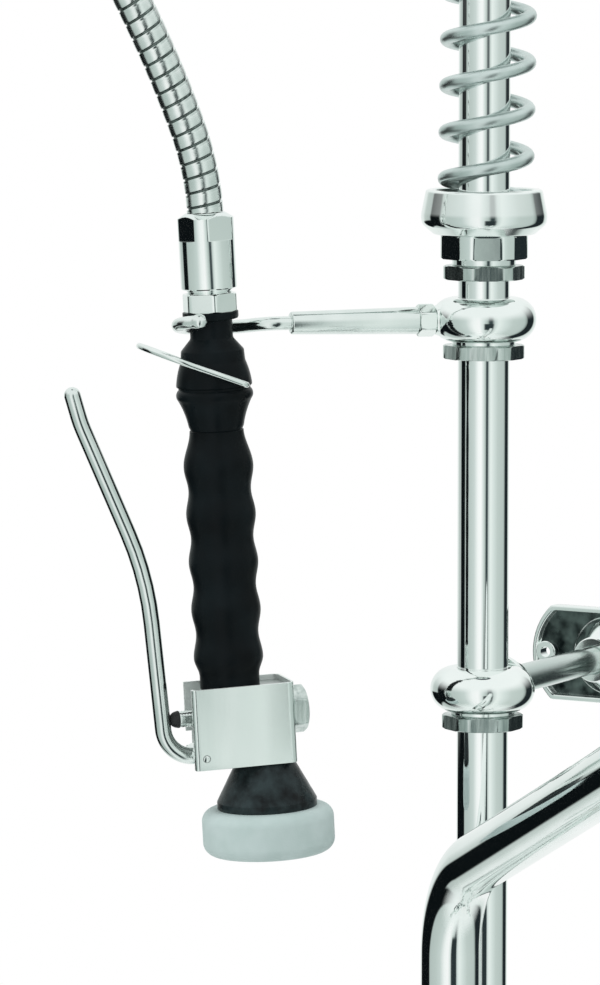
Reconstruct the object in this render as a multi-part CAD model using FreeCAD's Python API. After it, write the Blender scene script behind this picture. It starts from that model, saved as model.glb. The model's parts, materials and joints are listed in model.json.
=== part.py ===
import FreeCAD, Part
import math
import os

V = FreeCAD.Vector
Placement = FreeCAD.Placement
Rotation = FreeCAD.Rotation

# Pre-rinse faucet in millimetres. Origin at the deck face, centred under the riser. +Z is up,
# +Y points at the wall, and +X is to the right of someone who faces the wall.

# Clearances
FIT = 0.05            # radial play of a turned piece in its bore
RUN = 0.3             # air between pieces that move past each other

# Riser
RISER_D = 25.0
RISER_WALL = 1.5
RISER_FOOT_Z = 96.0
RISER_TOP_Z = 700.0

# Deck fixing and mixer body
GASKET_T = 2.0
GASKET_D = 58.0
FLANGE_D = 60.0
FLANGE_T = 8.0
SHANK_D = 32.0
SHANK_BORE_D = 26.0
SHANK_LENGTH = 62.0
SHANK_CLEAR = 0.2
DECK_T = 24.0
WASHER_D = 52.0
WASHER_T = 3.0
LOCKNUT_AF = 46.0
LOCKNUT_H = 9.0
TAIL_D = 10.0
TAIL_BORE_D = 8.0
TAIL_PITCH = 13.0
TAIL_LENGTH = 170.0
BODY_D = 46.0
BODY_FOOT_D = 54.0
BODY_FOOT_H = 5.0
HEAD_BASE_Z = 84.0
HEAD_TOP_Z = 112.0
RISER_TOWER_D = 37.0
SPOUT_TOWER_D = 40.0
ARM_Z = 46.0
ARM_D = 31.0
ARM_REACH = 46.0
SPOUT_VALVE_Z = 95.0
SPOUT_VALVE_D = 30.0
SPOUT_VALVE_REACH = 60.0

# Headworks and lever handles, three alike
HEADWORK_AF = 24.0
HEADWORK_HEX_H = 7.0
HEADWORK_THREAD_D = 20.0
HEADWORK_THREAD_L = 10.0
HEADWORK_NECK_D = 17.0
HEADWORK_NECK_L = 5.0
SPINDLE_D = 8.0
SPINDLE_OUT = 24.0
HANDLE_HUB_D = 32.0
HANDLE_HUB_L = 22.0
HANDLE_SKIRT = 5.0
HANDLE_LEVER_L = 62.0
HANDLE_LEVER_D = 10.0
HANDLE_TIP_D = 8.0

# Riser nut and the fitting on top of the riser
RISER_NUT_D = 33.0
RISER_NUT_H = 12.0
RISER_NUT_SLOT = 4.0
TOP_NUT_AF = 27.0
TOP_NUT_Z = 690.0
TOP_NUT_H = 16.0
TOP_FERRULE_D = 23.0
TOP_FITTING_Z = 728.0

# Swing spout
SPOUT_OFFSET = 32.0
SPOUT_D = 29.0
SPOUT_WALL = 1.2
SPOUT_SPIGOT_D = 22.0
SPOUT_SPIGOT_L = 18.0
SLIP_RING_T = 1.2
SPOUT_BEND_Z = 240.5
SPOUT_DEG = -40.0
SPOUT_RISE_DEG = 22.0
SPOUT_BEND_R = 55.0
SPOUT_REACH = 285.0
SPOUT_DROP_R = 40.0
SPOUT_DROP = 76.0
O_RING_D = 2.0
AERATOR_D = 28.0
AERATOR_H = 14.0
AERATOR_BORE_D = 22.0

# Clamp rings on the riser
RING_TUBE_R = 10.7
RING_MEAN_R = 14.8
RING_COLLAR_D = 31.0
RING_COLLAR_H = 3.0
NUT_AF = 34.0
RING_NUT_H = 8.0
WALL_RING_Z = 330.0
HOOK_RING_Z = 510.8

# Wall bracket
WALL_Y = 140.0
WALL_ROD_D = 14.0
WALL_BOSS_D = 20.0
WALL_BOSS_END = 31.0
WALL_ROD_START = 22.0
WALL_FLANGE_W = 85.0
WALL_FLANGE_TOP_W = 64.0
WALL_FLANGE_H = 48.6
WALL_FLANGE_T = 6.5
WALL_FLANGE_POCKET = 3.5
WALL_FLANGE_RIM = 2.6
WALL_HUB_BASE_D = 40.0
WALL_HUB_D = 22.0
WALL_HUB_L = 20.0
SCREW_PITCH = 70.0
SCREW_HOLE_D = 5.5
SCREW_BOSS_D = 11.0

# Hook arm
ARM_DEG = 225.0
ARM_BOSS_END = 25.6
ARM_BOSS_D = 13.4
ARM_STUD_D = 8.0
ARM_STUD_END = 46.0
ARM_NUT_AF = 14.0
ARM_NUT_L = 8.0
SLEEVE_START = 33.6
SLEEVE_END = 97.0
SLEEVE_ROOT_D = 13.2
SLEEVE_END_D = 10.9
HOOK_ROD_D = 6.2
HOOK_ROD_START = 76.0
HOOK_SWING_START = 109.5
HOOK_SWING_END = 119.5
HOOK_SWING_R = 16.4
HOOK_LOOP_R = 16.0
HOOK_LOOP_FRONT = 2.1
HOOK_LOOP_DEG = 144.0
HOOK_TILT_DEG = 10.0
HOOK_BALL_D = 7.3

# Spring cup, with its heights above its underside
CUP_Z = 550.4
CUP_FLOOR_H = 5.6
CUP_WIDE_H = 7.1
CUP_RIM_H = 22.7
CUP_RIM_D = 57.0
CUP_D = 60.3
CUP_BORE_D = 48.4
CUP_FOOT_D = 43.0
CUP_HEX_AF = 36.8
CUP_HEX_H = 11.4
CUP_COLLAR_H = 3.0
CUP_NUT_H = 6.8

# Balance spring
SPRING_OD = 46.7
SPRING_WIRE_D = 6.6
SPRING_PITCH = 22.9
SPRING_PHASE_DEG = -20.0
SPRING_LIFT = 3.5
SPRING_TURNS = 20.5
BUSH_SLEEVE_L = 10.0
BUSH_FLANGE_T = 3.0
BUSH_PLAY = 0.7

# Hose, in the plane of the hook arm: distance from the riser axis, height. The last two points
# of the route follow from the gun, so that the hose meets it squarely
HOSE_D = 17.5
HOSE_BORE_D = 12.0
HOSE_GROOVE = 0.75
HOSE_PITCH = 7.4
HOSE_ROUTE = [
    (0.0, 728.0), (0.0, 782.0), (27.1, 829.6), (74.3, 857.5), (129.0, 858.3), (177.0, 831.9),
    (205.5, 785.2), (207.1, 730.4), (171.2, 665.7), (154.0, 630.2)]
HOSE_LAST_RUN = 32.0

# Spray gun, in its own frame: x away from the riser, y towards the open side of the hook,
# z up along the handle, with the origin at the underside of the black collar
GUN_S = 136.45
GUN_Z = 513.4
GUN_TILT_DEG = 3.0
FERRULE_D = 26.8
FERRULE_H = 37.0
FERRULE_HEX_AF = 25.4
FERRULE_HEX_H = 13.0
FERRULE_FOOT_Z = 14.2
TAILPIECE_D = 15.0
TAILPIECE_FLANGE_D = 20.4
SWIVEL_NUT_AF = 26.0
SWIVEL_NUT_H = 8.8
SWIVEL_WALL = 2.5
STUD_D = 21.0
STUD_TOP_Z = 6.2
WASHER_TOP_Z = 7.8
COLLAR_D = 26.8
COLLAR_H = 3.8
NECK_D = 20.5
NECK_H = 9.1
FLARE_D = 30.3
FLARE_Z = -14.9
BAND_D = 31.2
BAND_Z = -20.2
SHOULDER_D = 36.5
SHOULDER_Z = -31.2
RING_D = 37.0
RING_TOP_Z = -33.2
RING_BOTTOM_Z = -38.6
WAIST_D = 26.0
WAIST_Z = -53.0
TUBE_D = 14.0
TUBE_BORE_D = 11.0
TUBE_TOP_Z = -24.0
TUBE_FOOT_Z = -182.4
GRIP_BUMP_D = 33.5
GRIP_VALLEY_D = 30.3
GRIP_FIRST_Z = -69.4
GRIP_PITCH = 23.35
GRIP_BUMPS = 5
GRIP_END_D = 29.6
GRIP_SPIGOT_D = 28.8
GRIP_END_Z = -178.4

# Valve box
COVER_T = 1.2
COVER_DEPTH = 31.6
COVER_RIGHT = -28.4
COVER_LEFT = 19.5
COVER_TOP_Z = -176.0
COVER_BOTTOM_Z = -215.2
COVER_BEND_R = 4.0
BLOCK_LEFT = 9.0
PLUNGER_Z = -191.6
PLUNGER_D = 8.0
PLUNGER_TIP = 31.1
PLUNGER_TIP_L = 6.0
POPPET_D = 13.0
POPPET_T = 3.0
SEAT_D = 11.0
SEAT_END = 4.0
STEM_RING_D = 1.8
CHAMBER_D = 16.0
CHAMBER_END = -2.0
CAP_AF = 20.5
CAP_HEAD = 8.0
CAP_PLUG = 9.0
VALVE_SPRING_D = 10.0
VALVE_SPRING_WIRE = 1.0
VALVE_SPRING_TURNS = 4
SLOT_W = 3.0
SLOT_H = 7.0
NOTCH_Z = -207.0

# Lever
PIN_X = 17.1
PIN_Z = -209.6
PIN_D = 3.5
LEVER_D = 8.0
LEVER_EYE_D = 9.0
LEVER_EYE_L = 20.0
LEVER_TOP = (70.9, -27.0)
LEVER_KNEE = (67.2, -42.0)
LEVER_BOW = (38.6, -120.0)
LEVER_LOW = (34.6, -211.2)
LEVER_KNEE_R = 60.0
LEVER_BOW_R = 90.0
LEVER_HEEL_R = 15.0

# Locking bail
BAIL_D = 3.0
BAIL_X = -11.4
BAIL_Z = -30.9
BAIL_HALF = 20.5
BAIL_LENGTH = 51.2
BAIL_RISE_DEG = 24.1
BAIL_SEAT = 12.2

# Spray head
HEAD_X = -15.4
PORT_D = 13.0
PORT_TOP_Z = -208.6
PORT_BORE_D = 8.0
PASSAGE_D = 5.0
PASSAGE_Z = -205.0
CONE_TOP_D = 28.0
CONE_D = 48.4
CONE_BASE_Z = -235.0
CONE_RIM_H = 3.0
SKIRT_D = 40.0
SKIRT_WALL = 2.0
SKIRT_H = 14.0
BUMPER_D = 64.0
BUMPER_H = 23.4
BUMPER_ROUND = 7.0
BUMPER_LIP = 2.0
SPRAY_PLATE_T = 2.5
SPRAY_HOLES = 12
SPRAY_HOLE_D = 2.0
THROAT_D = 10.0

ARM = Placement(V(0, 0, 0), Rotation(V(0, 0, 1), ARM_DEG))
GUN = ARM.multiply(Placement(V(GUN_S, 0, GUN_Z), Rotation(V(0, 1, 0), GUN_TILT_DEG)))
UP = V(0, 0, 1)


def save(node, shape, place=None):
    """Write one node as STEP, moved from its own frame where it has one."""
    if place is not None:
        shape = shape.copy()
        shape.transformShape(place.toMatrix(), True)
    if not shape.isValid():
        print("NOT VALID", node)
    shape.exportStep("parts/" + node + ".step")


def rod(start, direction, diameter, length):
    return Part.makeCylinder(diameter / 2, length, start, direction)


def tube(start, direction, diameter, bore, length):
    return rod(start, direction, diameter, length).cut(rod(start, direction, bore, length))


def turned(start, *steps):
    """Solid turned about Z. A step (r, z) is a line and (mid r, mid z, r, z) is an arc."""
    edges = []
    here = V(start[0], 0, start[1])
    first = here
    for step in steps:
        there = V(step[-2], 0, step[-1])
        if len(step) == 4:
            edges.append(Part.Arc(here, V(step[0], 0, step[1]), there).toShape())
        else:
            edges.append(Part.LineSegment(here, there).toShape())
        here = there
    edges.append(Part.LineSegment(here, first).toShape())
    return Part.Face(Part.Wire(edges)).revolve(V(0, 0, 0), UP, 360)


def along(axis, start):
    """Placement that takes +Z to the axis, at the start point."""
    return Placement(start, Rotation(UP, axis))


def moved(shape, place):
    out = shape.copy()
    out.transformShape(place.toMatrix(), True)
    return out


def hexagon(flats, height, chamfer=True):
    """Hexagonal prism on the XY plane, its corners turned off at 30 degrees."""
    corner_r = flats / math.sqrt(3)
    points = []
    for i in range(7):
        angle = math.radians(60 * i)
        points.append(V(corner_r * math.cos(angle), corner_r * math.sin(angle), 0))
    prism = Part.Face(Part.makePolygon(points)).extrude(V(0, 0, height))
    if not chamfer:
        return prism
    inner_r = flats / 2 * 0.97
    rise = (corner_r - inner_r) * math.tan(math.radians(30))
    blank = turned((0, 0), (inner_r, 0), (corner_r, rise), (corner_r, height - rise), (inner_r, height), (0, height))
    return prism.common(blank)


def bent_edges(points, radii):
    """Straight runs joined by tangent arcs, one radius for each inner point."""
    edges = []
    here = points[0]
    for i in range(1, len(points) - 1):
        corner = points[i]
        before = (corner - points[i - 1]).normalize()
        after = (points[i + 1] - corner).normalize()
        half_turn = before.getAngle(after) / 2
        reach = radii[i - 1] * math.tan(half_turn)
        start = corner - before * reach
        end = corner + after * reach
        toward = (after - before).normalize()
        middle = corner + toward * (radii[i - 1] * (1 / math.cos(half_turn) - 1))
        if (start - here).Length > 1e-4:
            edges.append(Part.LineSegment(here, start).toShape())
        edges.append(Part.Arc(start, middle, end).toShape())
        here = end
    edges.append(Part.LineSegment(here, points[-1]).toShape())
    return edges


def cord_radii(points):
    """As large as two runs allow: 0.45 of the shorter, over the tangent of half the turn."""
    radii = []
    for i in range(1, len(points) - 1):
        before = points[i] - points[i - 1]
        after = points[i + 1] - points[i]
        half_turn = before.getAngle(after) / 2
        radii.append(0.45 * min(before.Length, after.Length) / math.tan(half_turn))
    return radii


def swept(edges, diameter):
    """Round bar along tangent edges."""
    start = edges[0].valueAt(edges[0].FirstParameter)
    heading = edges[0].tangentAt(edges[0].FirstParameter)
    section = Part.Wire(Part.makeCircle(diameter / 2, start, heading))
    return Part.Wire(edges).makePipeShell([section], True, False)


def station(edges, distance):
    """Point and heading at a distance along the edges."""
    for edge in edges:
        if distance <= edge.Length or edge is edges[-1]:
            parameter = edge.getParameterByLength(min(distance, edge.Length))
            return edge.valueAt(parameter), edge.tangentAt(parameter)
        distance -= edge.Length


def arc_from(start, heading, end):
    """Arc that leaves the start along the heading and ends at the end point."""
    chord = end - start
    unit = V(chord).normalize()
    side = heading - unit * heading.dot(unit)
    if side.Length < 1e-9:
        return Part.LineSegment(start, end).toShape()
    half_angle = heading.getAngle(unit) / 2
    middle = (start + end) * 0.5 + side.normalize() * (chord.Length / 2 * math.tan(half_angle))
    return Part.Arc(start, middle, end).toShape()


def biarc(start, heading, end, end_heading):
    """Two tangent arcs between two points with given headings."""
    chord = end - start
    bend = 2 * (1 - heading.dot(end_heading))
    forward = chord.dot(heading + end_heading)
    reach = (math.sqrt(forward ** 2 + bend * chord.dot(chord)) - forward) / bend
    joint = (start + heading * reach + end - end_heading * reach) * 0.5
    first = arc_from(start, heading, joint)
    return [first, arc_from(joint, first.tangentAt(first.LastParameter), end)]


def coil_edges(centre_line, radius, pitch, turns, phase, normal):
    """Right-hand helix about a planar centre line, on biarcs of a quarter turn, and its least gap."""
    def point(turn):
        centre, heading = station(centre_line, turn * pitch)
        angle = phase + 2 * math.pi * turn
        return centre + normal.cross(heading) * (radius * math.cos(angle)) + normal * (radius * math.sin(angle))

    def heading_at(turn):
        step = 0.002
        return (point(turn + step) - point(max(turn - step, 0))).normalize()

    edges = []
    for i in range(int(round(turns * 4))):
        start, end = i / 4, (i + 1) / 4
        edges += biarc(point(start), heading_at(start), point(end), heading_at(end))
    samples = [point(i / 24) for i in range(int(turns * 24) + 1)]
    distances = []
    for i, sample in enumerate(samples):
        distances += [(sample - other).Length for other in samples[i + 12:i + 60]]
    return edges, min(distances)


os.makedirs("parts", exist_ok=True)

# Deck fixing: gasket and chromed flange on top, threaded shank, washer and locknut underneath
gasket_r = GASKET_D / 2
shank_hole_r = SHANK_D / 2 + SHANK_CLEAR
save("deck_gasket", tube(V(0, 0, 0), UP, GASKET_D, 2 * shank_hole_r, GASKET_T))
flange_top = GASKET_T + FLANGE_T
flange_r = FLANGE_D / 2
save("deck_flange", turned(
    (shank_hole_r, GASKET_T), (flange_r, GASKET_T), (flange_r, GASKET_T + FLANGE_T * 0.3),
    (flange_r - 1.2, GASKET_T + FLANGE_T * 0.8, flange_r - 4, flange_top), (shank_hole_r, flange_top)))
shank = tube(V(0, 0, -SHANK_LENGTH), UP, SHANK_D, SHANK_BORE_D, SHANK_LENGTH + flange_top)
save("mounting_shank", shank)
washer_z = -DECK_T - WASHER_T
save("clamp_washer", tube(V(0, 0, washer_z), UP, WASHER_D, 2 * shank_hole_r, WASHER_T))
locknut = moved(hexagon(LOCKNUT_AF, LOCKNUT_H), Placement(V(0, 0, washer_z - LOCKNUT_H), Rotation()))
save("deck_locknut", locknut.cut(rod(V(0, 0, -SHANK_LENGTH), UP, SHANK_D, SHANK_LENGTH)))

# Mixer body: a turned barrel with two side arms, a head with the riser and spout sockets side by
# side, and a boss in front for the spout's own shut-off valve
foot_z = flange_top
barrel_r = BODY_D / 2
foot_r = BODY_FOOT_D / 2
waist_r = barrel_r - 2
body = turned(
    (0, foot_z), (foot_r, foot_z), (foot_r, foot_z + BODY_FOOT_H),
    (waist_r + 1.5, foot_z + BODY_FOOT_H + 2.5, waist_r, foot_z + BODY_FOOT_H + 9), (waist_r, ARM_Z + ARM_D / 2),
    (waist_r + 0.6, (ARM_Z + ARM_D / 2 + HEAD_BASE_Z) / 2, barrel_r, HEAD_BASE_Z), (0, HEAD_BASE_Z))
arms = rod(V(-ARM_REACH, 0, ARM_Z), V(1, 0, 0), ARM_D, 2 * ARM_REACH)
head_h = HEAD_TOP_Z - HEAD_BASE_Z
riser_tower = rod(V(0, 0, HEAD_BASE_Z), UP, RISER_TOWER_D, head_h)
spout_tower = rod(V(0, -SPOUT_OFFSET, HEAD_BASE_Z), UP, SPOUT_TOWER_D, head_h)
side_x = math.sqrt((RISER_TOWER_D / 2) ** 2 - 1)
bridge = Part.makeBox(2 * side_x, SPOUT_OFFSET, head_h, V(-side_x, -SPOUT_OFFSET, HEAD_BASE_Z))
chin_low = Part.Wire(Part.makeCircle(BODY_D / 2 - 9, V(0, -6, ARM_Z + ARM_D / 2)))
chin_high = Part.Wire(Part.makeCircle(SPOUT_TOWER_D / 2, V(0, -SPOUT_OFFSET, HEAD_BASE_Z)))
chin = Part.makeLoft([chin_low, chin_high], True, True)
valve_boss = rod(V(0, -SPOUT_OFFSET, SPOUT_VALVE_Z), V(0, -1, 0), SPOUT_VALVE_D, SPOUT_VALVE_REACH - SPOUT_OFFSET)
body = body.fuse([arms, riser_tower, spout_tower, bridge, chin, valve_boss]).removeSplitter()
cuts = [rod(V(0, 0, RISER_FOOT_Z), UP, RISER_D + 2 * FIT, HEAD_TOP_Z),
        rod(V(0, 0, ARM_Z), UP, RISER_D - 2 * RISER_WALL - 4, HEAD_TOP_Z),
        rod(V(0, -SPOUT_OFFSET, HEAD_TOP_Z - SPOUT_SPIGOT_L - 1), UP, SPOUT_SPIGOT_D + 2 * FIT, HEAD_TOP_Z)]
for side in (-1, 1):
    start = V(side * ARM_REACH, 0, ARM_Z)
    cuts.append(rod(start, V(-side, 0, 0), HEADWORK_THREAD_D, HEADWORK_THREAD_L + 8))
    cuts.append(rod(V(side * TAIL_PITCH / 2, 0, foot_z - 1), UP, TAIL_D, 13))
cuts.append(rod(V(0, -SPOUT_VALVE_REACH, SPOUT_VALVE_Z), V(0, 1, 0), HEADWORK_THREAD_D, HEADWORK_THREAD_L + 1))
for cutter in cuts:
    body = body.cut(cutter)
save("mixer_body", body)
for name, side in (("hot_tail", -1), ("cold_tail", 1)):
    foot = V(side * TAIL_PITCH / 2, 0, foot_z + 12 - TAIL_LENGTH)
    save(name, tube(foot, UP, TAIL_D, TAIL_BORE_D, TAIL_LENGTH))

# Headworks, spindles and lever handles: hot on the left, cold on the right, spout valve in front
neck_end = HEADWORK_HEX_H + HEADWORK_NECK_L
headwork = rod(V(0, 0, -HEADWORK_THREAD_L), UP, HEADWORK_THREAD_D, HEADWORK_THREAD_L)
headwork = headwork.fuse([hexagon(HEADWORK_AF, HEADWORK_HEX_H), rod(V(0, 0, 0), UP, HEADWORK_NECK_D, neck_end)])
headwork = headwork.cut(rod(V(0, 0, -HEADWORK_THREAD_L - 1), UP, SPINDLE_D + 2 * FIT, 60))
spindle = rod(V(0, 0, -HEADWORK_THREAD_L + 1), UP, SPINDLE_D, HEADWORK_THREAD_L - 1 + SPINDLE_OUT)
hub_base = HEADWORK_HEX_H + 1.0
hub_top = hub_base + HANDLE_HUB_L
hub_r = HANDLE_HUB_D / 2
handle = turned(
    (0, hub_base + HANDLE_SKIRT), (HEADWORK_NECK_D / 2 + 1.5, hub_base + HANDLE_SKIRT), (hub_r - 2.5, hub_base),
    (hub_r, hub_base), (hub_r, hub_top - 6), (hub_r - 1.5, hub_top - 1.5, hub_r - 7, hub_top), (0, hub_top))
lever_z = hub_base + HANDLE_HUB_L * 0.55
lever_root = Part.Wire(Part.makeCircle(HANDLE_LEVER_D / 2, V(0, hub_r - 3, lever_z), V(0, 1, 0)))
lever_end = Part.Wire(Part.makeCircle(HANDLE_TIP_D / 2, V(0, HANDLE_LEVER_L, lever_z + 4), V(0, 1, 0)))
handle = handle.fuse([Part.makeLoft([lever_root, lever_end], True, True),
                      Part.makeSphere(HANDLE_TIP_D / 2, V(0, HANDLE_LEVER_L, lever_z + 4))])
handle = handle.cut(rod(V(0, 0, 0), UP, SPINDLE_D + 2 * FIT, SPINDLE_OUT + FIT))
valves = (
    ("hot", Placement(V(-ARM_REACH, 0, ARM_Z), Rotation(V(0, 0, 1), V(-1, 0, 0)).multiply(Rotation(UP, -90)))),
    ("cold", Placement(V(ARM_REACH, 0, ARM_Z), Rotation(V(0, 0, 1), V(1, 0, 0)).multiply(Rotation(UP, 90)))),
    ("spout", Placement(V(0, -SPOUT_VALVE_REACH, SPOUT_VALVE_Z), Rotation(V(0, 0, 1), V(0, -1, 0)))))
for name, place in valves:
    save(name + "_headwork", headwork, place)
    save(name + "_spindle", spindle, place)
    save(name + "_handle", handle, place)

# Riser tube, its slotted nut and the fitting that joins the hose to its top
save("riser_tube", tube(V(0, 0, RISER_FOOT_Z), UP, RISER_D, RISER_D - 2 * RISER_WALL, RISER_TOP_Z - RISER_FOOT_Z))
riser_nut = tube(V(0, 0, HEAD_TOP_Z), UP, RISER_NUT_D, RISER_D + 2 * FIT, RISER_NUT_H)
for i in range(4):
    slot = Part.makeBox(RISER_NUT_SLOT, RISER_NUT_SLOT, RISER_NUT_H * 0.6)
    slot.translate(V(RISER_NUT_D / 2 - RISER_NUT_SLOT / 2, -RISER_NUT_SLOT / 2, HEAD_TOP_Z + RISER_NUT_H * 0.2))
    slot.rotate(V(0, 0, 0), UP, 45 + 90 * i)
    riser_nut = riser_nut.cut(slot)
save("riser_nut", riser_nut)
top_nut = moved(hexagon(TOP_NUT_AF, TOP_NUT_H), Placement(V(0, 0, TOP_NUT_Z), Rotation()))
nut_end = TOP_NUT_Z + TOP_NUT_H
ferrule_r = TOP_FERRULE_D / 2
top_fitting = top_nut.fuse(turned(
    (0, nut_end - 2), (ferrule_r - 3, nut_end - 2), (ferrule_r - 3, nut_end + 2), (ferrule_r, nut_end + 3),
    (ferrule_r, TOP_FITTING_Z), (0, TOP_FITTING_Z)))
top_fitting = top_fitting.cut(rod(V(0, 0, TOP_NUT_Z - 1), UP, RISER_D + 2 * FIT, RISER_TOP_Z - TOP_NUT_Z + 1))
save("hose_top_fitting", top_fitting.cut(rod(V(0, 0, TOP_NUT_Z), UP, HOSE_BORE_D, TOP_FITTING_Z)))

# Swing spout: a spigot with two O-rings in the body's socket, one bent tube, and the aerator
tail = V(0, -SPOUT_OFFSET, 0)
spout_seat = HEAD_TOP_Z + SLIP_RING_T + RUN
spigot_foot = HEAD_TOP_Z - SPOUT_SPIGOT_L
save("spout_slip_ring", tube(tail + V(0, 0, HEAD_TOP_Z), UP, SPOUT_D - 1, SPOUT_SPIGOT_D + 2 * RUN, SLIP_RING_T))
out_x = math.cos(math.radians(SPOUT_DEG))
out_y = math.sin(math.radians(SPOUT_DEG))
end_z = SPOUT_BEND_Z + SPOUT_REACH * math.tan(math.radians(SPOUT_RISE_DEG))
spout_points = [tail + V(0, 0, spout_seat), tail + V(0, 0, SPOUT_BEND_Z),
                tail + V(SPOUT_REACH * out_x, SPOUT_REACH * out_y, end_z),
                tail + V(SPOUT_REACH * out_x, SPOUT_REACH * out_y, end_z - SPOUT_DROP)]
spout_line = bent_edges(spout_points, [SPOUT_BEND_R, SPOUT_DROP_R])
spout = swept(spout_line, SPOUT_D).cut(swept(spout_line, SPOUT_D - 2 * SPOUT_WALL))
spigot = rod(tail + V(0, 0, spigot_foot), UP, SPOUT_SPIGOT_D, spout_seat + 2 - spigot_foot)
spigot = spigot.fuse(rod(tail + V(0, 0, spout_seat), UP, SPOUT_D - SPOUT_WALL, 2))
spout = spout.fuse(spigot).cut(rod(tail, UP, SPOUT_SPIGOT_D - 6, spout_seat + 3))
rings = []
for i in range(2):
    ring_z = spigot_foot + SPOUT_SPIGOT_L * (i + 1) / 3
    ring_r = SPOUT_SPIGOT_D / 2 - O_RING_D / 2
    rings.append(Part.makeTorus(ring_r, O_RING_D / 2, tail + V(0, 0, ring_z), UP))
    groove = tube(tail + V(0, 0, ring_z - O_RING_D / 2 - FIT), UP, SPOUT_SPIGOT_D + 1,
                  SPOUT_SPIGOT_D - 2 * O_RING_D, O_RING_D + 2 * FIT)
    spout = spout.cut(groove)
save("spout_tube", spout)
save("spout_o_rings", Part.makeCompound(rings))
outlet = spout_points[-1]
aerator_r = AERATOR_D / 2
bore_r = AERATOR_BORE_D / 2
housing = turned((bore_r, 0), (aerator_r, 0), (aerator_r, -AERATOR_H + 2), (aerator_r - 0.6, -AERATOR_H + 0.6,
                 aerator_r - 2, -AERATOR_H), (bore_r - 1.5, -AERATOR_H), (bore_r - 1.5, -AERATOR_H + 2),
                 (bore_r, -AERATOR_H + 2))
housing.translate(outlet)
save("aerator_housing", housing)
insert = rod(outlet - V(0, 0, AERATOR_H - 2), UP, AERATOR_BORE_D - 2 * FIT, AERATOR_H - 4)
for i in range(6):
    angle = math.radians(60 * i)
    hole = V(bore_r * 0.55 * math.cos(angle), bore_r * 0.55 * math.sin(angle), -AERATOR_H)
    insert = insert.cut(rod(outlet + hole, UP, 3, AERATOR_H))
save("aerator_insert", insert)


# Clamp rings: a fat rounded ring on the riser with a thin collar below it and a boss on one side
def clamp_ring(boss):
    bore = RISER_D / 2 + FIT
    rise = math.sqrt(RING_TUBE_R ** 2 - (RING_MEAN_R - bore) ** 2)
    section = turned((bore, -rise), (RING_MEAN_R + RING_TUBE_R, 0, bore, rise))
    low = -RING_TUBE_R - RING_COLLAR_H
    collar = tube(V(0, 0, low), UP, RING_COLLAR_D, 2 * bore, RING_COLLAR_H + 2)
    ring = section.fuse([collar, boss])
    return ring.cut(rod(V(0, 0, -RING_TUBE_R * 2), UP, 2 * bore, RING_TUBE_R * 4)).removeSplitter()


def ring_nut(height, turn):
    nut = hexagon(NUT_AF, height)
    nut.rotate(V(0, 0, 0), UP, turn)
    return nut.cut(rod(V(0, 0, -1), UP, RISER_D + 2 * FIT, height + 2))


nut_drop = RING_TUBE_R + RING_COLLAR_H + RING_NUT_H
wall_boss = Part.makeCone(WALL_BOSS_D / 2 + 3, WALL_BOSS_D / 2, WALL_BOSS_END - 15, V(0, 15, 0), V(0, 1, 0))
wall_place = Placement(V(0, 0, WALL_RING_Z), Rotation())
rod_socket = rod(V(0, WALL_ROD_START, 0), V(0, 1, 0), WALL_ROD_D, WALL_BOSS_END)
save("wall_ring", clamp_ring(wall_boss).cut(rod_socket), wall_place)
save("wall_ring_nut", ring_nut(RING_NUT_H, 24), Placement(V(0, 0, WALL_RING_Z - nut_drop), Rotation()))
rod_end = WALL_Y - 4
save("wall_rod", rod(V(0, WALL_ROD_START, WALL_RING_Z), V(0, 1, 0), WALL_ROD_D, rod_end - WALL_ROD_START))

# Wall flange: dished plate with a raised rim, flat above and below and bowed at the ends,
# a conical hub for the rod and a raised boss round each screw hole
def flange_outline(inset):
    half_w = WALL_FLANGE_W / 2 - inset
    half_top = WALL_FLANGE_TOP_W / 2 - inset * 0.8
    half_h = WALL_FLANGE_H / 2 - inset
    corners = [V(half_top, 0, half_h), V(half_top, 0, -half_h), V(-half_top, 0, -half_h), V(-half_top, 0, half_h)]
    edges = [Part.Arc(corners[0], V(half_w, 0, 0), corners[1]).toShape(),
             Part.LineSegment(corners[1], corners[2]).toShape(),
             Part.Arc(corners[2], V(-half_w, 0, 0), corners[3]).toShape(),
             Part.LineSegment(corners[3], corners[0]).toShape()]
    return Part.Face(Part.Wire(edges))


flange = flange_outline(0).extrude(V(0, -WALL_FLANGE_T, 0))
flange = flange.makeFillet(2.5, [e for e in flange.Edges if abs(e.BoundBox.YLength - WALL_FLANGE_T) < 1e-6])
pocket = flange_outline(WALL_FLANGE_RIM).extrude(V(0, -WALL_FLANGE_POCKET, 0))
pocket.translate(V(0, WALL_FLANGE_POCKET - WALL_FLANGE_T, 0))
flange = flange.cut(pocket)
hub_start = WALL_FLANGE_T - WALL_FLANGE_POCKET
hub = Part.makeCone(WALL_HUB_BASE_D / 2, WALL_HUB_D / 2, WALL_HUB_L, V(0, -hub_start + 0.5, 0), V(0, -1, 0))
bosses = [rod(V(s * SCREW_PITCH / 2, 0, 0), V(0, -1, 0), SCREW_BOSS_D, WALL_FLANGE_T) for s in (-1, 1)]
flange = flange.fuse([hub] + bosses)
for s in (-1, 1):
    flange = flange.cut(rod(V(s * SCREW_PITCH / 2, 1, 0), V(0, -1, 0), SCREW_HOLE_D, WALL_FLANGE_T + 2))
flange = flange.cut(rod(V(0, rod_end - WALL_Y, 0), V(0, -1, 0), WALL_ROD_D, WALL_HUB_L + 20))
save("wall_flange", flange, Placement(V(0, WALL_Y, WALL_RING_Z), Rotation()))

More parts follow.
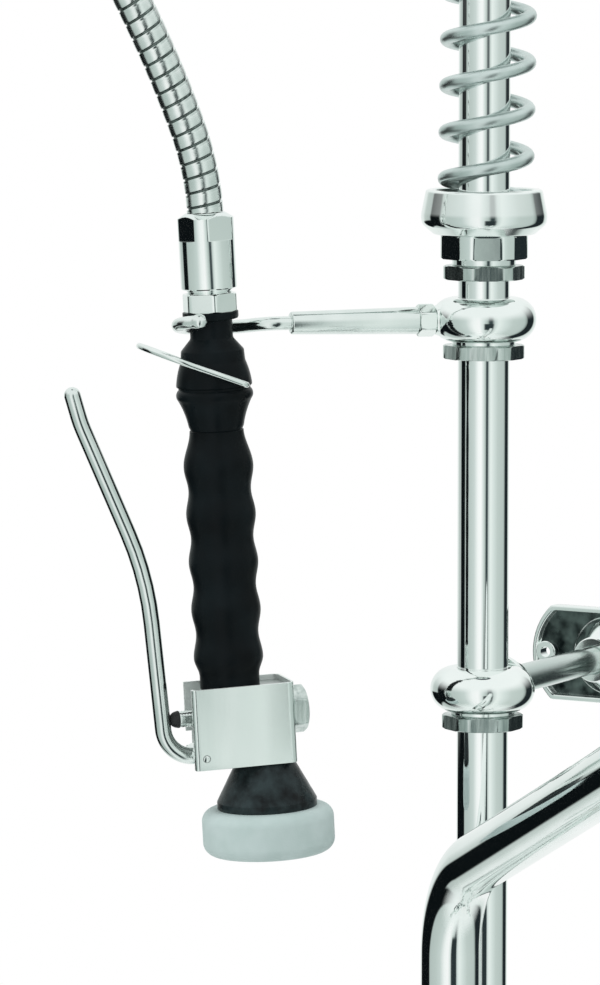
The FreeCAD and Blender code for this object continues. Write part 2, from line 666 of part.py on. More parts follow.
# Hook arm: ring with a studded boss, small locknut, tapered sleeve and the bent hook rod
arm_x = V(1, 0, 0)
arm_boss = Part.makeCone(ARM_BOSS_D / 2 + 4, ARM_BOSS_D / 2, ARM_BOSS_END - 15, V(15, 0, 0), arm_x)
arm_boss = arm_boss.fuse(rod(V(15, 0, 0), arm_x, ARM_STUD_D, ARM_STUD_END - 15))
hook_place = ARM.multiply(Placement(V(0, 0, HOOK_RING_Z), Rotation()))
save("hook_ring", clamp_ring(arm_boss), hook_place)
save("hook_ring_nut", ring_nut(RING_NUT_H, 35), Placement(V(0, 0, HOOK_RING_Z - nut_drop), Rotation()))
arm_nut = moved(hexagon(ARM_NUT_AF, ARM_NUT_L), along(arm_x, V(ARM_BOSS_END, 0, 0)))
save("hook_locknut", arm_nut.cut(rod(V(0, 0, 0), arm_x, ARM_STUD_D, 60)), hook_place)
sleeve = Part.makeCone(SLEEVE_ROOT_D / 2, SLEEVE_END_D / 2, SLEEVE_END - SLEEVE_START, V(SLEEVE_START, 0, 0), arm_x)
sleeve = sleeve.cut(rod(V(SLEEVE_START - 1, 0, 0), arm_x, ARM_STUD_D, ARM_STUD_END - SLEEVE_START + 1))
save("hook_sleeve", sleeve.cut(rod(V(HOOK_ROD_START, 0, 0), arm_x, HOOK_ROD_D, 60)), hook_place)
# The rod leaves the sleeve, swings back behind the neck of the gun and returns round its far side
back_y = HOOK_LOOP_FRONT - HOOK_LOOP_R
loop_centre = V(GUN_S, HOOK_LOOP_FRONT, 0)
hook_points = [V(HOOK_ROD_START, 0, 0), V(HOOK_SWING_START, 0, 0), V(HOOK_SWING_END, back_y, 0), V(GUN_S, back_y, 0)]


def on_loop(degrees):
    angle = math.radians(degrees - 90)
    return loop_centre + V(HOOK_LOOP_R * math.cos(angle), HOOK_LOOP_R * math.sin(angle), 0)


hook_edges = bent_edges(hook_points, [HOOK_SWING_R, HOOK_SWING_R])
hook_edges.append(Part.Arc(on_loop(0), on_loop(HOOK_LOOP_DEG / 2), on_loop(HOOK_LOOP_DEG)).toShape())
hook = swept(hook_edges, HOOK_ROD_D).fuse(Part.makeSphere(HOOK_BALL_D / 2, on_loop(HOOK_LOOP_DEG)))
hook.rotate(V(0, 0, 0), arm_x, HOOK_TILT_DEG)
save("hook_rod", hook, hook_place)

# Spring cup with its own hexagon and collar, and the locknut below it
rim_r = CUP_RIM_D / 2
wide_r = CUP_D / 2
foot_r = CUP_FOOT_D / 2
cup_bore_r = CUP_BORE_D / 2
riser_hole_r = RISER_D / 2 + FIT
cup_rim_z = CUP_Z + CUP_RIM_H
cup_floor_z = CUP_Z + CUP_FLOOR_H
cup = turned(
    (riser_hole_r, CUP_Z), (foot_r, CUP_Z), (wide_r - 2.6, CUP_Z + 1.9, wide_r, CUP_Z + CUP_WIDE_H),
    (rim_r, cup_rim_z - 1.5), (rim_r - 0.5, cup_rim_z - 0.4, rim_r - 1.5, cup_rim_z),
    (cup_bore_r, cup_rim_z), (cup_bore_r, cup_floor_z), (riser_hole_r, cup_floor_z))
cup_hex = hexagon(CUP_HEX_AF, CUP_HEX_H + 0.5)
cup_hex.rotate(V(0, 0, 0), UP, 15)
cup_hex.translate(V(0, 0, CUP_Z - CUP_HEX_H))
collar_z = CUP_Z - CUP_HEX_H - CUP_COLLAR_H
cup = cup.fuse([cup_hex, rod(V(0, 0, collar_z), UP, RING_COLLAR_D, CUP_COLLAR_H + 1)])
save("spring_cup", cup.cut(rod(V(0, 0, collar_z - 1), UP, 2 * riser_hole_r, 40)))
save("cup_locknut", ring_nut(CUP_NUT_H, 5), Placement(V(0, 0, collar_z - CUP_NUT_H), Rotation()))

# Hose: the route lies in the plane of the hook arm, straight out of both fittings
route = [ARM.multVec(V(s, 0, z)) for s, z in HOSE_ROUTE]
hose_end_z = FERRULE_FOOT_Z + FERRULE_H
route += [GUN.multVec(V(0, 0, hose_end_z + HOSE_LAST_RUN)), GUN.multVec(V(0, 0, hose_end_z))]
radii = cord_radii(route)
print("hose radii", [round(r, 1) for r in radii])
hose_line = bent_edges(route, radii)
hose_length = sum(edge.Length for edge in hose_line)
print("hose length", round(hose_length, 1))
arm_side = ARM.Rotation.multVec(V(0, 1, 0))


def hose_ring(distance, diameter):
    point, heading = station(hose_line, distance)
    place = Placement(point, Rotation(arm_side, V(0, 0, 0), heading, "ZXY"))
    ring = Part.Wire(Part.makeCircle(diameter / 2))
    ring.Placement = place
    return ring


end_run = HOSE_D
ribs = int((hose_length - 2 * end_run) / HOSE_PITCH)
pitch = (hose_length - 2 * end_run) / ribs
groove_d = HOSE_D - 2 * HOSE_GROOVE
rings = [hose_ring(0, HOSE_D), hose_ring(end_run, HOSE_D)]
for i in range(ribs):
    start = end_run + i * pitch
    for share, diameter in ((0.05, groove_d), (0.22, groove_d), (0.30, HOSE_D), (0.97, HOSE_D)):
        rings.append(hose_ring(start + share * pitch, diameter))
rings.append(hose_ring(hose_length, HOSE_D))
hose = Part.makeLoft(rings, True, True)
bore = swept(hose_line, HOSE_BORE_D)
save("hose", hose.cut(bore))
print("hose ribs", ribs, "volume", round(hose.Volume / 1000, 1), "bore volume against section times length",
      round(bore.Volume / (math.pi * HOSE_BORE_D ** 2 / 4 * hose_length), 4))

# Balance spring: stands in the cup, goes up round the riser and over the first part of the arch
spring_start = V(0, 0, cup_floor_z + SPRING_LIFT)
spring_line = [Part.LineSegment(spring_start, route[0]).toShape()] + hose_line
spring_r = (SPRING_OD - SPRING_WIRE_D) / 2
spring_edges, spring_gap = coil_edges(
    spring_line, spring_r, SPRING_PITCH, SPRING_TURNS, math.radians(SPRING_PHASE_DEG), arm_side)
spring = swept(spring_edges, SPRING_WIRE_D)
save("balance_spring", spring)
spring_length = sum(edge.Length for edge in spring_edges)
print("spring gap", round(spring_gap - SPRING_WIRE_D, 2), "volume against section times length",
      round(spring.Volume / (math.pi * SPRING_WIRE_D ** 2 / 4 * spring_length), 4))

# Bush at the free end of the spring: a sleeve inside the last curl and a flange that stops it
bush_end = SPRING_TURNS * SPRING_PITCH - spring_line[0].Length + SPRING_WIRE_D / 2 + 0.2
bush_point, bush_heading = station(hose_line, bush_end)
bush_d = SPRING_OD - 2 * SPRING_WIRE_D - 0.6
bush = rod(bush_point, bush_heading, SPRING_OD - 2, BUSH_FLANGE_T)
bush = bush.fuse(rod(bush_point, bush_heading * -1, bush_d, BUSH_SLEEVE_L))
bush_bore = rod(bush_point - bush_heading * 20, bush_heading, HOSE_D + 2 * BUSH_PLAY, 40)
save("spring_bush", bush.cut(bush_bore))

# Hose ferrule: round below, six flats above, two turned grooves, and a flanged tailpiece below
ferrule_r = FERRULE_D / 2
ferrule_top = FERRULE_FOOT_Z + FERRULE_H
flats_z = ferrule_top - FERRULE_HEX_H
tail_r = TAILPIECE_D / 2
flange_z = WASHER_TOP_Z + RUN
nut_wall_z = COLLAR_H + SWIVEL_NUT_H - SWIVEL_WALL
groove = 0.6
ferrule = turned(
    (HOSE_BORE_D / 2, flange_z), (TAILPIECE_FLANGE_D / 2, flange_z), (TAILPIECE_FLANGE_D / 2, nut_wall_z - RUN),
    (tail_r, nut_wall_z - RUN), (tail_r, FERRULE_FOOT_Z), (ferrule_r - 1, FERRULE_FOOT_Z),
    (ferrule_r, FERRULE_FOOT_Z + 1), (ferrule_r, FERRULE_FOOT_Z + 4), (ferrule_r - groove, FERRULE_FOOT_Z + 4.5),
    (ferrule_r, FERRULE_FOOT_Z + 5), (ferrule_r, flats_z - 1), (ferrule_r - groove, flats_z - 0.5),
    (ferrule_r, flats_z), (ferrule_r, ferrule_top - 1.5), (ferrule_r - 2.2, ferrule_top),
    (HOSE_BORE_D / 2, ferrule_top))
flats = hexagon(FERRULE_HEX_AF, FERRULE_HEX_H + 1, False)
flats.translate(V(0, 0, flats_z))
blank = rod(V(0, 0, flats_z), UP, FERRULE_D + 10, FERRULE_HEX_H + 1)
save("hose_ferrule", ferrule.cut(blank.cut(flats)), GUN)

# Swivel nut and washer, which join the tailpiece to the neck of the gun
swivel_nut = moved(hexagon(SWIVEL_NUT_AF, SWIVEL_NUT_H), Placement(V(0, 0, COLLAR_H), Rotation()))
swivel_nut = swivel_nut.cut(rod(V(0, 0, 0), UP, STUD_D, nut_wall_z))
save("swivel_nut", swivel_nut.cut(rod(V(0, 0, 0), UP, TAILPIECE_D + 2 * FIT, 20)), GUN)
save("swivel_washer", tube(V(0, 0, STUD_TOP_Z), UP, STUD_D - 1, HOSE_BORE_D, WASHER_TOP_Z - STUD_TOP_Z), GUN)

# Neck of the gun, black: stud, collar, narrow throat for the hook, shoulders, bead and waist
stud_r = STUD_D / 2
collar_r = COLLAR_D / 2
neck_r = NECK_D / 2
water_r = TUBE_BORE_D / 2
socket_r = TUBE_D / 2 + FIT
waist_r = WAIST_D / 2
neck = turned(
    (water_r, STUD_TOP_Z), (stud_r, STUD_TOP_Z), (stud_r, COLLAR_H), (collar_r, COLLAR_H), (collar_r, 1.2),
    (collar_r - 0.4, 0.3, collar_r - 1.4, 0), (neck_r, 0), (neck_r, -NECK_H), (FLARE_D / 2, FLARE_Z),
    (BAND_D / 2, BAND_Z), (SHOULDER_D / 2 - 0.9, (BAND_Z + SHOULDER_Z) / 2, SHOULDER_D / 2, SHOULDER_Z),
    (SHOULDER_D / 2 - 0.9, (SHOULDER_Z + RING_TOP_Z) / 2 - 0.2, SHOULDER_D / 2 - 0.7, RING_TOP_Z - 0.6),
    (RING_D / 2, (RING_TOP_Z + RING_BOTTOM_Z) / 2, RING_D / 2 - 0.9, RING_BOTTOM_Z),
    (waist_r + 1.4, WAIST_Z + 6.5, waist_r, WAIST_Z), (socket_r, WAIST_Z), (socket_r, TUBE_TOP_Z),
    (water_r, TUBE_TOP_Z))
for s in (-1, 1):
    neck = neck.cut(rod(V(BAIL_X, s * (BAIL_SEAT - 0.1), BAIL_Z), V(0, s, 0), BAIL_D + 2 * FIT, 20))
save("gun_neck", neck, GUN)
save("water_tube", tube(V(0, 0, TUBE_FOOT_Z), UP, TUBE_D, TUBE_BORE_D, TUBE_TOP_Z - TUBE_FOOT_Z), GUN)

# Hand grip: five soft swellings between the waist and the valve box
grip_points = [V(waist_r, 0, WAIST_Z)]
for i in range(GRIP_BUMPS):
    grip_points.append(V(GRIP_BUMP_D / 2, 0, GRIP_FIRST_Z - i * GRIP_PITCH))
    if i < GRIP_BUMPS - 1:
        grip_points.append(V(GRIP_VALLEY_D / 2, 0, GRIP_FIRST_Z - (i + 0.5) * GRIP_PITCH))
step_z = COVER_TOP_Z + 0.1
grip_points.append(V(GRIP_END_D / 2, 0, step_z))
outline = Part.BSplineCurve()
outline.interpolate(grip_points)
corners = [grip_points[-1], V(GRIP_SPIGOT_D / 2, 0, step_z), V(GRIP_SPIGOT_D / 2, 0, GRIP_END_Z),
           V(socket_r, 0, GRIP_END_Z), V(socket_r, 0, WAIST_Z), grip_points[0]]
grip_edges = [outline.toShape()]
grip_edges += [Part.LineSegment(corners[i], corners[i + 1]).toShape() for i in range(5)]
save("grip_sleeve", Part.Face(Part.Wire(grip_edges)).revolve(V(0, 0, 0), UP, 360), GUN)

# Valve block: tube socket above, poppet chamber on the riser side, seat, stem bore on the lever
# side, and the way down to the spray port
out_x = V(1, 0, 0)
block_right = COVER_RIGHT + COVER_T
half_block = COVER_DEPTH / 2 - COVER_T
block_foot = COVER_BOTTOM_Z + 0.6
block = Part.makeBox(BLOCK_LEFT - block_right, 2 * half_block, GRIP_END_Z - block_foot,
                     V(block_right, -half_block, block_foot))
upright = [e for e in block.Edges if e.BoundBox.ZLength > 10 and e.BoundBox.XMin < block_right + 1]
block = block.makeFillet(COVER_BEND_R - COVER_T, upright)
ring_u = (SEAT_END + BLOCK_LEFT) / 2
stem_ring = Part.makeTorus(PLUNGER_D / 2 + STEM_RING_D / 2, STEM_RING_D / 2, V(ring_u, 0, PLUNGER_Z), out_x)
ways = [rod(V(0, 0, TUBE_FOOT_Z), UP, 2 * socket_r, 10),
        rod(V(-4, 0, TUBE_FOOT_Z), V(0, 0, -1), 5, 5),
        rod(V(block_right - 1, 0, PLUNGER_Z), out_x, CHAMBER_D, CHAMBER_END - block_right + 1),
        rod(V(CHAMBER_END - 1, 0, PLUNGER_Z), out_x, SEAT_D, SEAT_END - CHAMBER_END + 1),
        rod(V(SEAT_END - 1, 0, PLUNGER_Z), out_x, PLUNGER_D + 2 * FIT, 20),
        rod(V(ring_u - STEM_RING_D / 2, 0, PLUNGER_Z), out_x, PLUNGER_D + 2 * STEM_RING_D, STEM_RING_D),
        rod(V(1, 0, PLUNGER_Z), V(0, 0, -1), PASSAGE_D, PLUNGER_Z - PASSAGE_Z + 3),
        rod(V(HEAD_X, 0, PASSAGE_Z), out_x, PASSAGE_D - 0.6, 1 - HEAD_X),
        rod(V(HEAD_X, 0, PASSAGE_Z + 3), V(0, 0, -1), PORT_BORE_D, 15),
        rod(V(HEAD_X, 0, PORT_TOP_Z + 0.2), V(0, 0, -1), PORT_D, 12)]
for way in ways:
    block = block.cut(way)
save("valve_body", block, GUN)
save("stem_o_ring", stem_ring, GUN)

# Folded cover round the block, open on the lever side, with the pin holes and a notch behind
cover_h = COVER_TOP_Z - COVER_BOTTOM_Z


def cover_box(inset, bend):
    box = Part.makeBox(COVER_LEFT - COVER_RIGHT, COVER_DEPTH - 2 * inset, cover_h,
                       V(COVER_RIGHT + inset, -COVER_DEPTH / 2 + inset, COVER_BOTTOM_Z))
    edges = [e for e in box.Edges if e.BoundBox.ZLength > 10 and e.BoundBox.XMin < COVER_RIGHT + 2]
    return box.makeFillet(bend, edges)


cover = cover_box(0, COVER_BEND_R).cut(cover_box(COVER_T, COVER_BEND_R - COVER_T))
cover = cover.cut(rod(V(PIN_X, -30, PIN_Z), V(0, 1, 0), PIN_D, 60))
cover = cover.cut(rod(V(COVER_RIGHT - 1, 0, PLUNGER_Z), out_x, CHAMBER_D + 2 * FIT, 4))
notch = Part.makeBox(SLOT_W, 5, SLOT_H, V(COVER_LEFT - SLOT_W, -COVER_DEPTH / 2 - 1, NOTCH_Z))
save("valve_cover", cover.cut(notch), GUN)

# End cap with a hexagon head, the return spring inside it, and the plunger with its rubber tip
cap = moved(hexagon(CAP_AF, CAP_HEAD), along(V(-1, 0, 0), V(COVER_RIGHT, 0, PLUNGER_Z)))
cap_end = block_right + CAP_PLUG
cap = cap.fuse(rod(V(COVER_RIGHT - 1, 0, PLUNGER_Z), out_x, CHAMBER_D, cap_end - COVER_RIGHT + 1))
pocket_floor = cap_end - 6
save("end_cap", cap.cut(rod(V(pocket_floor, 0, PLUNGER_Z), out_x, VALVE_SPRING_D + 1, 20)), GUN)
poppet_start = CHAMBER_END - RUN - POPPET_T
stem_end = PLUNGER_TIP - PLUNGER_TIP_L
plunger = rod(V(poppet_start, 0, PLUNGER_Z), out_x, PLUNGER_D, stem_end - poppet_start)
plunger = plunger.fuse(rod(V(poppet_start, 0, PLUNGER_Z), out_x, POPPET_D, POPPET_T))
save("plunger", plunger, GUN)
tip_r = PLUNGER_D / 2
tip = rod(V(stem_end, 0, PLUNGER_Z), out_x, PLUNGER_D, PLUNGER_TIP_L - tip_r)
tip = tip.fuse(Part.makeSphere(tip_r, V(PLUNGER_TIP - tip_r, 0, PLUNGER_Z), out_x, 0, 90, 360))
save("plunger_tip", tip, GUN)
spring_wire_r = VALVE_SPRING_WIRE / 2
coil_start = V(pocket_floor + spring_wire_r, 0, PLUNGER_Z)
coil_end = V(poppet_start - spring_wire_r, 0, PLUNGER_Z)
valve_line = [Part.LineSegment(coil_start, coil_end).toShape()]
valve_pitch = (coil_end - coil_start).Length / VALVE_SPRING_TURNS
valve_edges, valve_gap = coil_edges(
    valve_line, VALVE_SPRING_D / 2 - spring_wire_r, valve_pitch, VALVE_SPRING_TURNS, 0, V(0, 1, 0))
save("valve_spring", swept(valve_edges, VALVE_SPRING_WIRE), GUN)
print("valve spring gap", round(valve_gap - VALVE_SPRING_WIRE, 2))

# Lever: one bent rod with an eye for the pin
lever_points = [V(x, 0, z) for x, z in (LEVER_TOP, LEVER_KNEE, LEVER_BOW, LEVER_LOW, (PIN_X, PIN_Z))]
lever_line = bent_edges(lever_points, [LEVER_KNEE_R, LEVER_BOW_R, LEVER_HEEL_R])
lever = swept(lever_line, LEVER_D)
lever_ball = Part.makeSphere(LEVER_D / 2, lever_points[0])
eye = rod(V(PIN_X, -LEVER_EYE_L / 2, PIN_Z), V(0, 1, 0), LEVER_EYE_D, LEVER_EYE_L)
lever = lever.fuse([lever_ball, eye])
lever = lever.cut(rod(V(PIN_X, -LEVER_EYE_L, PIN_Z), V(0, 1, 0), PIN_D + 2 * FIT, 2 * LEVER_EYE_L))
save("lever", lever, GUN)
save("lever_pin", rod(V(PIN_X, -COVER_DEPTH / 2, PIN_Z), V(0, 1, 0), PIN_D, COVER_DEPTH), GUN)

# Locking bail: a wire loop whose ends turn inward into the shoulders of the neck
rise = math.radians(BAIL_RISE_DEG)
bail_out = V(math.cos(rise), 0, math.sin(rise)) * BAIL_LENGTH
bail_points = []
for s in (-1, 1):
    arm_points = [V(BAIL_X, s * BAIL_SEAT, BAIL_Z), V(BAIL_X, s * BAIL_HALF, BAIL_Z),
                  V(BAIL_X, s * BAIL_HALF, BAIL_Z) + bail_out]
    bail_points += arm_points if s < 0 else arm_points[::-1]
bail_r = BAIL_HALF - 0.1
save("lock_bail", swept(bent_edges(bail_points, [3, bail_r, bail_r, 3]), BAIL_D), GUN)

# Spray head: black cone, grey rubber bumper round its skirt, and the spray plate in the skirt
head = V(HEAD_X, 0, 0)
rim_z = CONE_BASE_Z - CONE_RIM_H
skirt_z = rim_z - SKIRT_H
skirt_r = SKIRT_D / 2
cavity_r = skirt_r - SKIRT_WALL
throat_r = THROAT_D / 2
port_r = PORT_BORE_D / 2
cone = turned(
    (port_r, PORT_TOP_Z), (PORT_D / 2 - FIT, PORT_TOP_Z), (PORT_D / 2 - FIT, COVER_BOTTOM_Z),
    (CONE_TOP_D / 2, COVER_BOTTOM_Z), (CONE_D / 2, CONE_BASE_Z), (CONE_D / 2, rim_z), (skirt_r, rim_z),
    (skirt_r, skirt_z), (cavity_r, skirt_z), (cavity_r, rim_z - 3), (throat_r, CONE_BASE_Z + 4),
    (throat_r, COVER_BOTTOM_Z), (port_r, COVER_BOTTOM_Z + 1))
save("spray_cone", moved(cone, Placement(head, Rotation())), GUN)
bumper_r = BUMPER_D / 2
bumper_z = rim_z - BUMPER_H
k = BUMPER_ROUND * (1 - math.sqrt(0.5))
bumper = turned(
    (skirt_r, rim_z), (bumper_r - BUMPER_ROUND, rim_z), (bumper_r - k, rim_z - k, bumper_r, rim_z - BUMPER_ROUND),
    (bumper_r, bumper_z + BUMPER_ROUND), (bumper_r - k, bumper_z + k, bumper_r - BUMPER_ROUND, bumper_z),
    (cavity_r + 1, bumper_z), (cavity_r - BUMPER_LIP, skirt_z - 2), (cavity_r - BUMPER_LIP, skirt_z),
    (skirt_r, skirt_z))
save("bumper", moved(bumper, Placement(head, Rotation())), GUN)
plate_z = skirt_z + 1
plate = rod(head + V(0, 0, plate_z), UP, 2 * (cavity_r - FIT), SPRAY_PLATE_T)
for i in range(SPRAY_HOLES):
    angle = 2 * math.pi * i / SPRAY_HOLES
    hole = V(cavity_r * 0.68 * math.cos(angle), cavity_r * 0.68 * math.sin(angle), plate_z - 1)
    plate = plate.cut(rod(head + hole, UP, SPRAY_HOLE_D, SPRAY_PLATE_T + 2))
save("spray_plate", plate, GUN)
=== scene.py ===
import bpy
import cmath
import json
import math
import numpy as np
from mathutils import Matrix, Vector

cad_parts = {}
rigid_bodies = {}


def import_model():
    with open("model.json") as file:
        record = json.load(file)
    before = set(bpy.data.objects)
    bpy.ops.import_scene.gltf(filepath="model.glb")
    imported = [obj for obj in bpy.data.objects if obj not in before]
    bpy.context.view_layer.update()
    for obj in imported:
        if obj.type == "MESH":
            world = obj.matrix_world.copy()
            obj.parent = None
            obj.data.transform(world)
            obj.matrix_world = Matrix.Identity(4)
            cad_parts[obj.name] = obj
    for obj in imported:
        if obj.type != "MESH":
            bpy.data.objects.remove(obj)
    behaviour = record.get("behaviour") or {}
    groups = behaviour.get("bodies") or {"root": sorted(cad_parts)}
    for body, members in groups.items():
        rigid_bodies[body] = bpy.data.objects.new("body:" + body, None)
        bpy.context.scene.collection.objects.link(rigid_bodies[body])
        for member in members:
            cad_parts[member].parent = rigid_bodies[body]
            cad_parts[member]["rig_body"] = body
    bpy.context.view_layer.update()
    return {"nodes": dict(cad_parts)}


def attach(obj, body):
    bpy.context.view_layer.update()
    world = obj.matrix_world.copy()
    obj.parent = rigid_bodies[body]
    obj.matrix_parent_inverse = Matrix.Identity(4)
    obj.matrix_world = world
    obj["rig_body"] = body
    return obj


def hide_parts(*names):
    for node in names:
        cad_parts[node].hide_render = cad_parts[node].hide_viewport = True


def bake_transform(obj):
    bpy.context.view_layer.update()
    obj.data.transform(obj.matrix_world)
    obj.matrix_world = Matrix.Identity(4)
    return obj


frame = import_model()

# Deck fixing. A black rubber gasket and a chromed brass flange sit on the deck, a threaded brass
# shank goes through it, and a steel washer and a brass locknut pull it down from below.
MM = 0.001
X_AXIS = Vector((1, 0, 0))
Y_AXIS = Vector((0, 1, 0))
Z_AXIS = Vector((0, 0, 1))


def linear(code):
    """Linear colour from an sRGB hex code."""
    channels = [int(code[i:i + 2], 16) / 255 for i in (0, 2, 4)]
    return [c / 12.92 if c <= 0.04045 else ((c + 0.055) / 1.055) ** 2.4 for c in channels] + [1.0]


def add(tree, kind, sockets=(), **settings):
    """A new node, its kind a whole name or a shader node's without ShaderNode. Its sockets, in order or
    by name or number, are set to values, or linked to sockets or to the first outputs of nodes."""
    node = tree.nodes.new(kind if "Node" in kind else "ShaderNode" + kind)
    for name, value in settings.items():
        setattr(node, name, value)
    pairs = sockets.items() if isinstance(sockets, dict) else enumerate(sockets)
    for key, value in pairs:
        if isinstance(value, bpy.types.Node):
            value = value.outputs[0]
        if isinstance(value, bpy.types.NodeSocket):
            tree.links.new(value, node.inputs[key])
        else:
            node.inputs[key].default_value = value
    return node


def emptied(owner):
    """Node tree of a material or a world, without its first nodes."""
    owner.use_nodes = True
    owner.node_tree.nodes.clear()
    return owner.node_tree


def grain(tree, size, low, high, stretch=(1, 1, 1), detail=2.0):
    """Uneven value from low to high, in patches of a size in mm that stretch draws out along the axes."""
    where = add(tree, "TexCoord").outputs["Object"]
    spread = add(tree, "Mapping", {"Vector": where, "Scale": [1000 / size / s for s in stretch]})
    noise = add(tree, "TexNoise", {"Vector": spread, "Scale": 1.0, "Detail": detail}).outputs["Fac"]
    return add(tree, "MapRange", {
        "Value": noise, "From Min": 0.3, "From Max": 0.7, "To Min": low, "To Max": high})


def finish(name, light, dark, smooth, rough, patch, fine, depth, metallic=1.0,
        stretch=(1, 1, 1), sheen=0.5):
    """Material between two colours and two roughnesses in patches, with a fine relief of a depth in mm."""
    made = bpy.data.materials.new(name)
    tree = emptied(made)
    relief = add(tree, "Bump", {
        "Height": grain(tree, fine, 0, 1, stretch, 3.0), "Distance": depth * MM, "Strength": 1.0})
    patches = grain(tree, patch, 0, 1, stretch)
    colour = add(tree, "Mix", {0: patches, 6: linear(light), 7: linear(dark)}, data_type="RGBA").outputs[2]
    roughness = grain(tree, patch * 0.6, smooth, rough, stretch, 4.0)
    shader = add(tree, "BsdfPrincipled", {
        "Base Color": colour, "Roughness": roughness, "Metallic": metallic, "Specular IOR Level": sheen,
        "Normal": relief})
    add(tree, "OutputMaterial", {"Surface": shader})
    return made


def filleted(corners, steps=5):
    """Closed outline with each corner (a, b, radius) rounded, and each corner (a, b) left sharp."""
    outline = []
    for i, corner in enumerate(corners):
        if len(corner) == 2:
            outline.append(corner)
            continue
        here, before, after = [complex(*corners[(i + k) % len(corners)][:2]) for k in (0, -1, 1)]
        before, after = before - here, after - here
        half = abs(cmath.phase(after / before)) / 2
        reach = min(corner[2] / math.tan(half), 0.48 * abs(before), 0.48 * abs(after))
        before, after = before / abs(before) * reach, after / abs(after) * reach
        centre = (before + after) / (2 * math.cos(half) ** 2)
        sweep = (after - centre) / (before - centre)
        arc = [here + centre + (before - centre) * sweep ** (k / steps) for k in range(steps + 1)]
        outline += [(spot.real, spot.imag) for spot in arc]
    return outline


def skin(loops, endless=False):
    """Closed surface through loops of points. A loop of one point closes an end."""
    points, starts, faces = [], [], []
    for loop in loops:
        starts.append(len(points))
        points += [tuple(point) for point in loop]
    count = len(loops)
    for a in range(count if endless else count - 1):
        b = (a + 1) % count
        sides = max(len(loops[a]), len(loops[b]))
        if sides == 1:
            continue
        for k in range(sides):
            m = (k + 1) % sides
            low = [starts[a]] if len(loops[a]) == 1 else [starts[a] + k, starts[a] + m]
            high = [starts[b]] if len(loops[b]) == 1 else [starts[b] + m, starts[b] + k]
            faces.append(low + high)
    spots = np.array(points, float)
    volume = 0.0
    for face in faces:
        for j in range(1, len(face) - 1):
            volume += spots[face[0]] @ np.cross(spots[face[j]], spots[face[j + 1]])
    if volume < 0:
        faces = [face[::-1] for face in faces]
    return spots, faces


FLAT_STEP = 0.3
FLAT_CROWN = 0.05
CORNER_BLEND = 0.5
EDGE_BLEND = 0.15


def soft_least(a, b, blend):
    """The lesser of two sizes, rounded over where they are close."""
    near = np.maximum(blend - np.abs(a - b), 0) / blend
    return np.minimum(a, b) - near ** 2 * blend / 4


def lathe(outline, sides=96, flats=None, count=6):
    """Solid turned about Z from a closed outline (r, z). Flats (across, low, high, turn) are cut on it."""
    ring = [outline[0]]
    for r, z in list(outline[1:]) + [outline[0]]:
        last_r, last_z = ring[-1]
        slanted = flats and abs(r - last_r) > 1e-6 and abs(z - last_z) > 1e-6
        steps = max(1, int(math.hypot(r - last_r, z - last_z) / FLAT_STEP)) if slanted else 1
        shares = [k / steps for k in range(1, steps + 1)]
        ring += [(last_r + (r - last_r) * share, last_z + (z - last_z) * share) for share in shares]
    ring.pop()
    if flats:
        across, low, high, turn = flats
        half = math.pi / count
        off = np.linspace(-half, half, 33)[:-1]
        angles = np.concatenate([np.radians(turn) + (2 * k + 1) * half + off for k in range(count)])
        side = across / 2 / np.cos(off) - FLAT_CROWN * (np.tan(off) / math.tan(half)) ** 2
        reach = np.tile(soft_least(side, across / 2 / np.cos(2 * half - np.abs(off)), CORNER_BLEND), count)
    else:
        angles = np.linspace(0, 2 * math.pi, sides, endpoint=False)
    loops = []
    for r, z in ring:
        if r < 1e-9:
            loops.append([(0, 0, z)])
            continue
        radius = np.full(len(angles), r)
        if flats and low - 1e-6 <= z <= high + 1e-6:
            radius = soft_least(radius, reach, EDGE_BLEND)
        heights = np.full(len(angles), z)
        loops.append(np.stack([radius * np.cos(angles), radius * np.sin(angles), heights], 1))
    return skin(loops, True)


def turned(corners, steps=5, sides=96):
    """Solid turned about Z from an outline with rounded corners."""
    return lathe(filleted(corners, steps), sides)


def pipe(bore_r, radius, low, high, sides=96):
    """Tube about Z between two heights, or a solid cylinder with no bore."""
    return lathe([(bore_r, low), (radius, low), (radius, high), (bore_r, high)], sides)


def nut(across, height, bore_r, low=0.0, turn=0.0, corner_r=None):
    """Hexagon nut with both ends turned off at 30 degrees, its corners too if their radius is given."""
    corner_r = corner_r or across / math.sqrt(3)
    face_r = across / 2 * 1.03
    rise = (corner_r - face_r) * math.tan(math.radians(30))
    high = low + height
    outline = [(bore_r, low + 0.5), (bore_r + 0.5, low), (face_r, low), (corner_r, low + rise),
        (corner_r, high - rise), (face_r, high), (bore_r + 0.5, high), (bore_r, high - 0.5)]
    return lathe(outline, flats=(across, low, high, turn))


def turned_to(axis, start=(0, 0, 0)):
    """Matrix that takes +Z to an axis and the origin to a start point."""
    return Matrix.Translation(start) @ Z_AXIS.rotation_difference(axis).to_matrix().to_4x4()


def smooth_over(mesh, crease=32):
    """Smooth shading, sharp where faces meet at more than the crease angle."""
    mesh.shade_smooth()
    mesh.set_sharp_from_angle(angle=math.radians(crease))


def linked(name, data):
    """A new object in the scene."""
    made = bpy.data.objects.new(name, data)
    bpy.context.scene.collection.objects.link(made)
    return made


def shaped(name, shapes, material, place=Matrix()):
    """Object from shapes in mm, moved to its place, with its material."""
    points, faces = [], []
    for spots, sides in shapes:
        faces += [[len(points) + i for i in face] for face in sides]
        points += [(place @ Vector(spot)) * MM for spot in spots]
    mesh = bpy.data.meshes.new(name)
    mesh.from_pydata(points, [], faces)
    mesh.materials.append(material)
    made = linked(name, mesh)
    smooth_over(mesh)
    return made


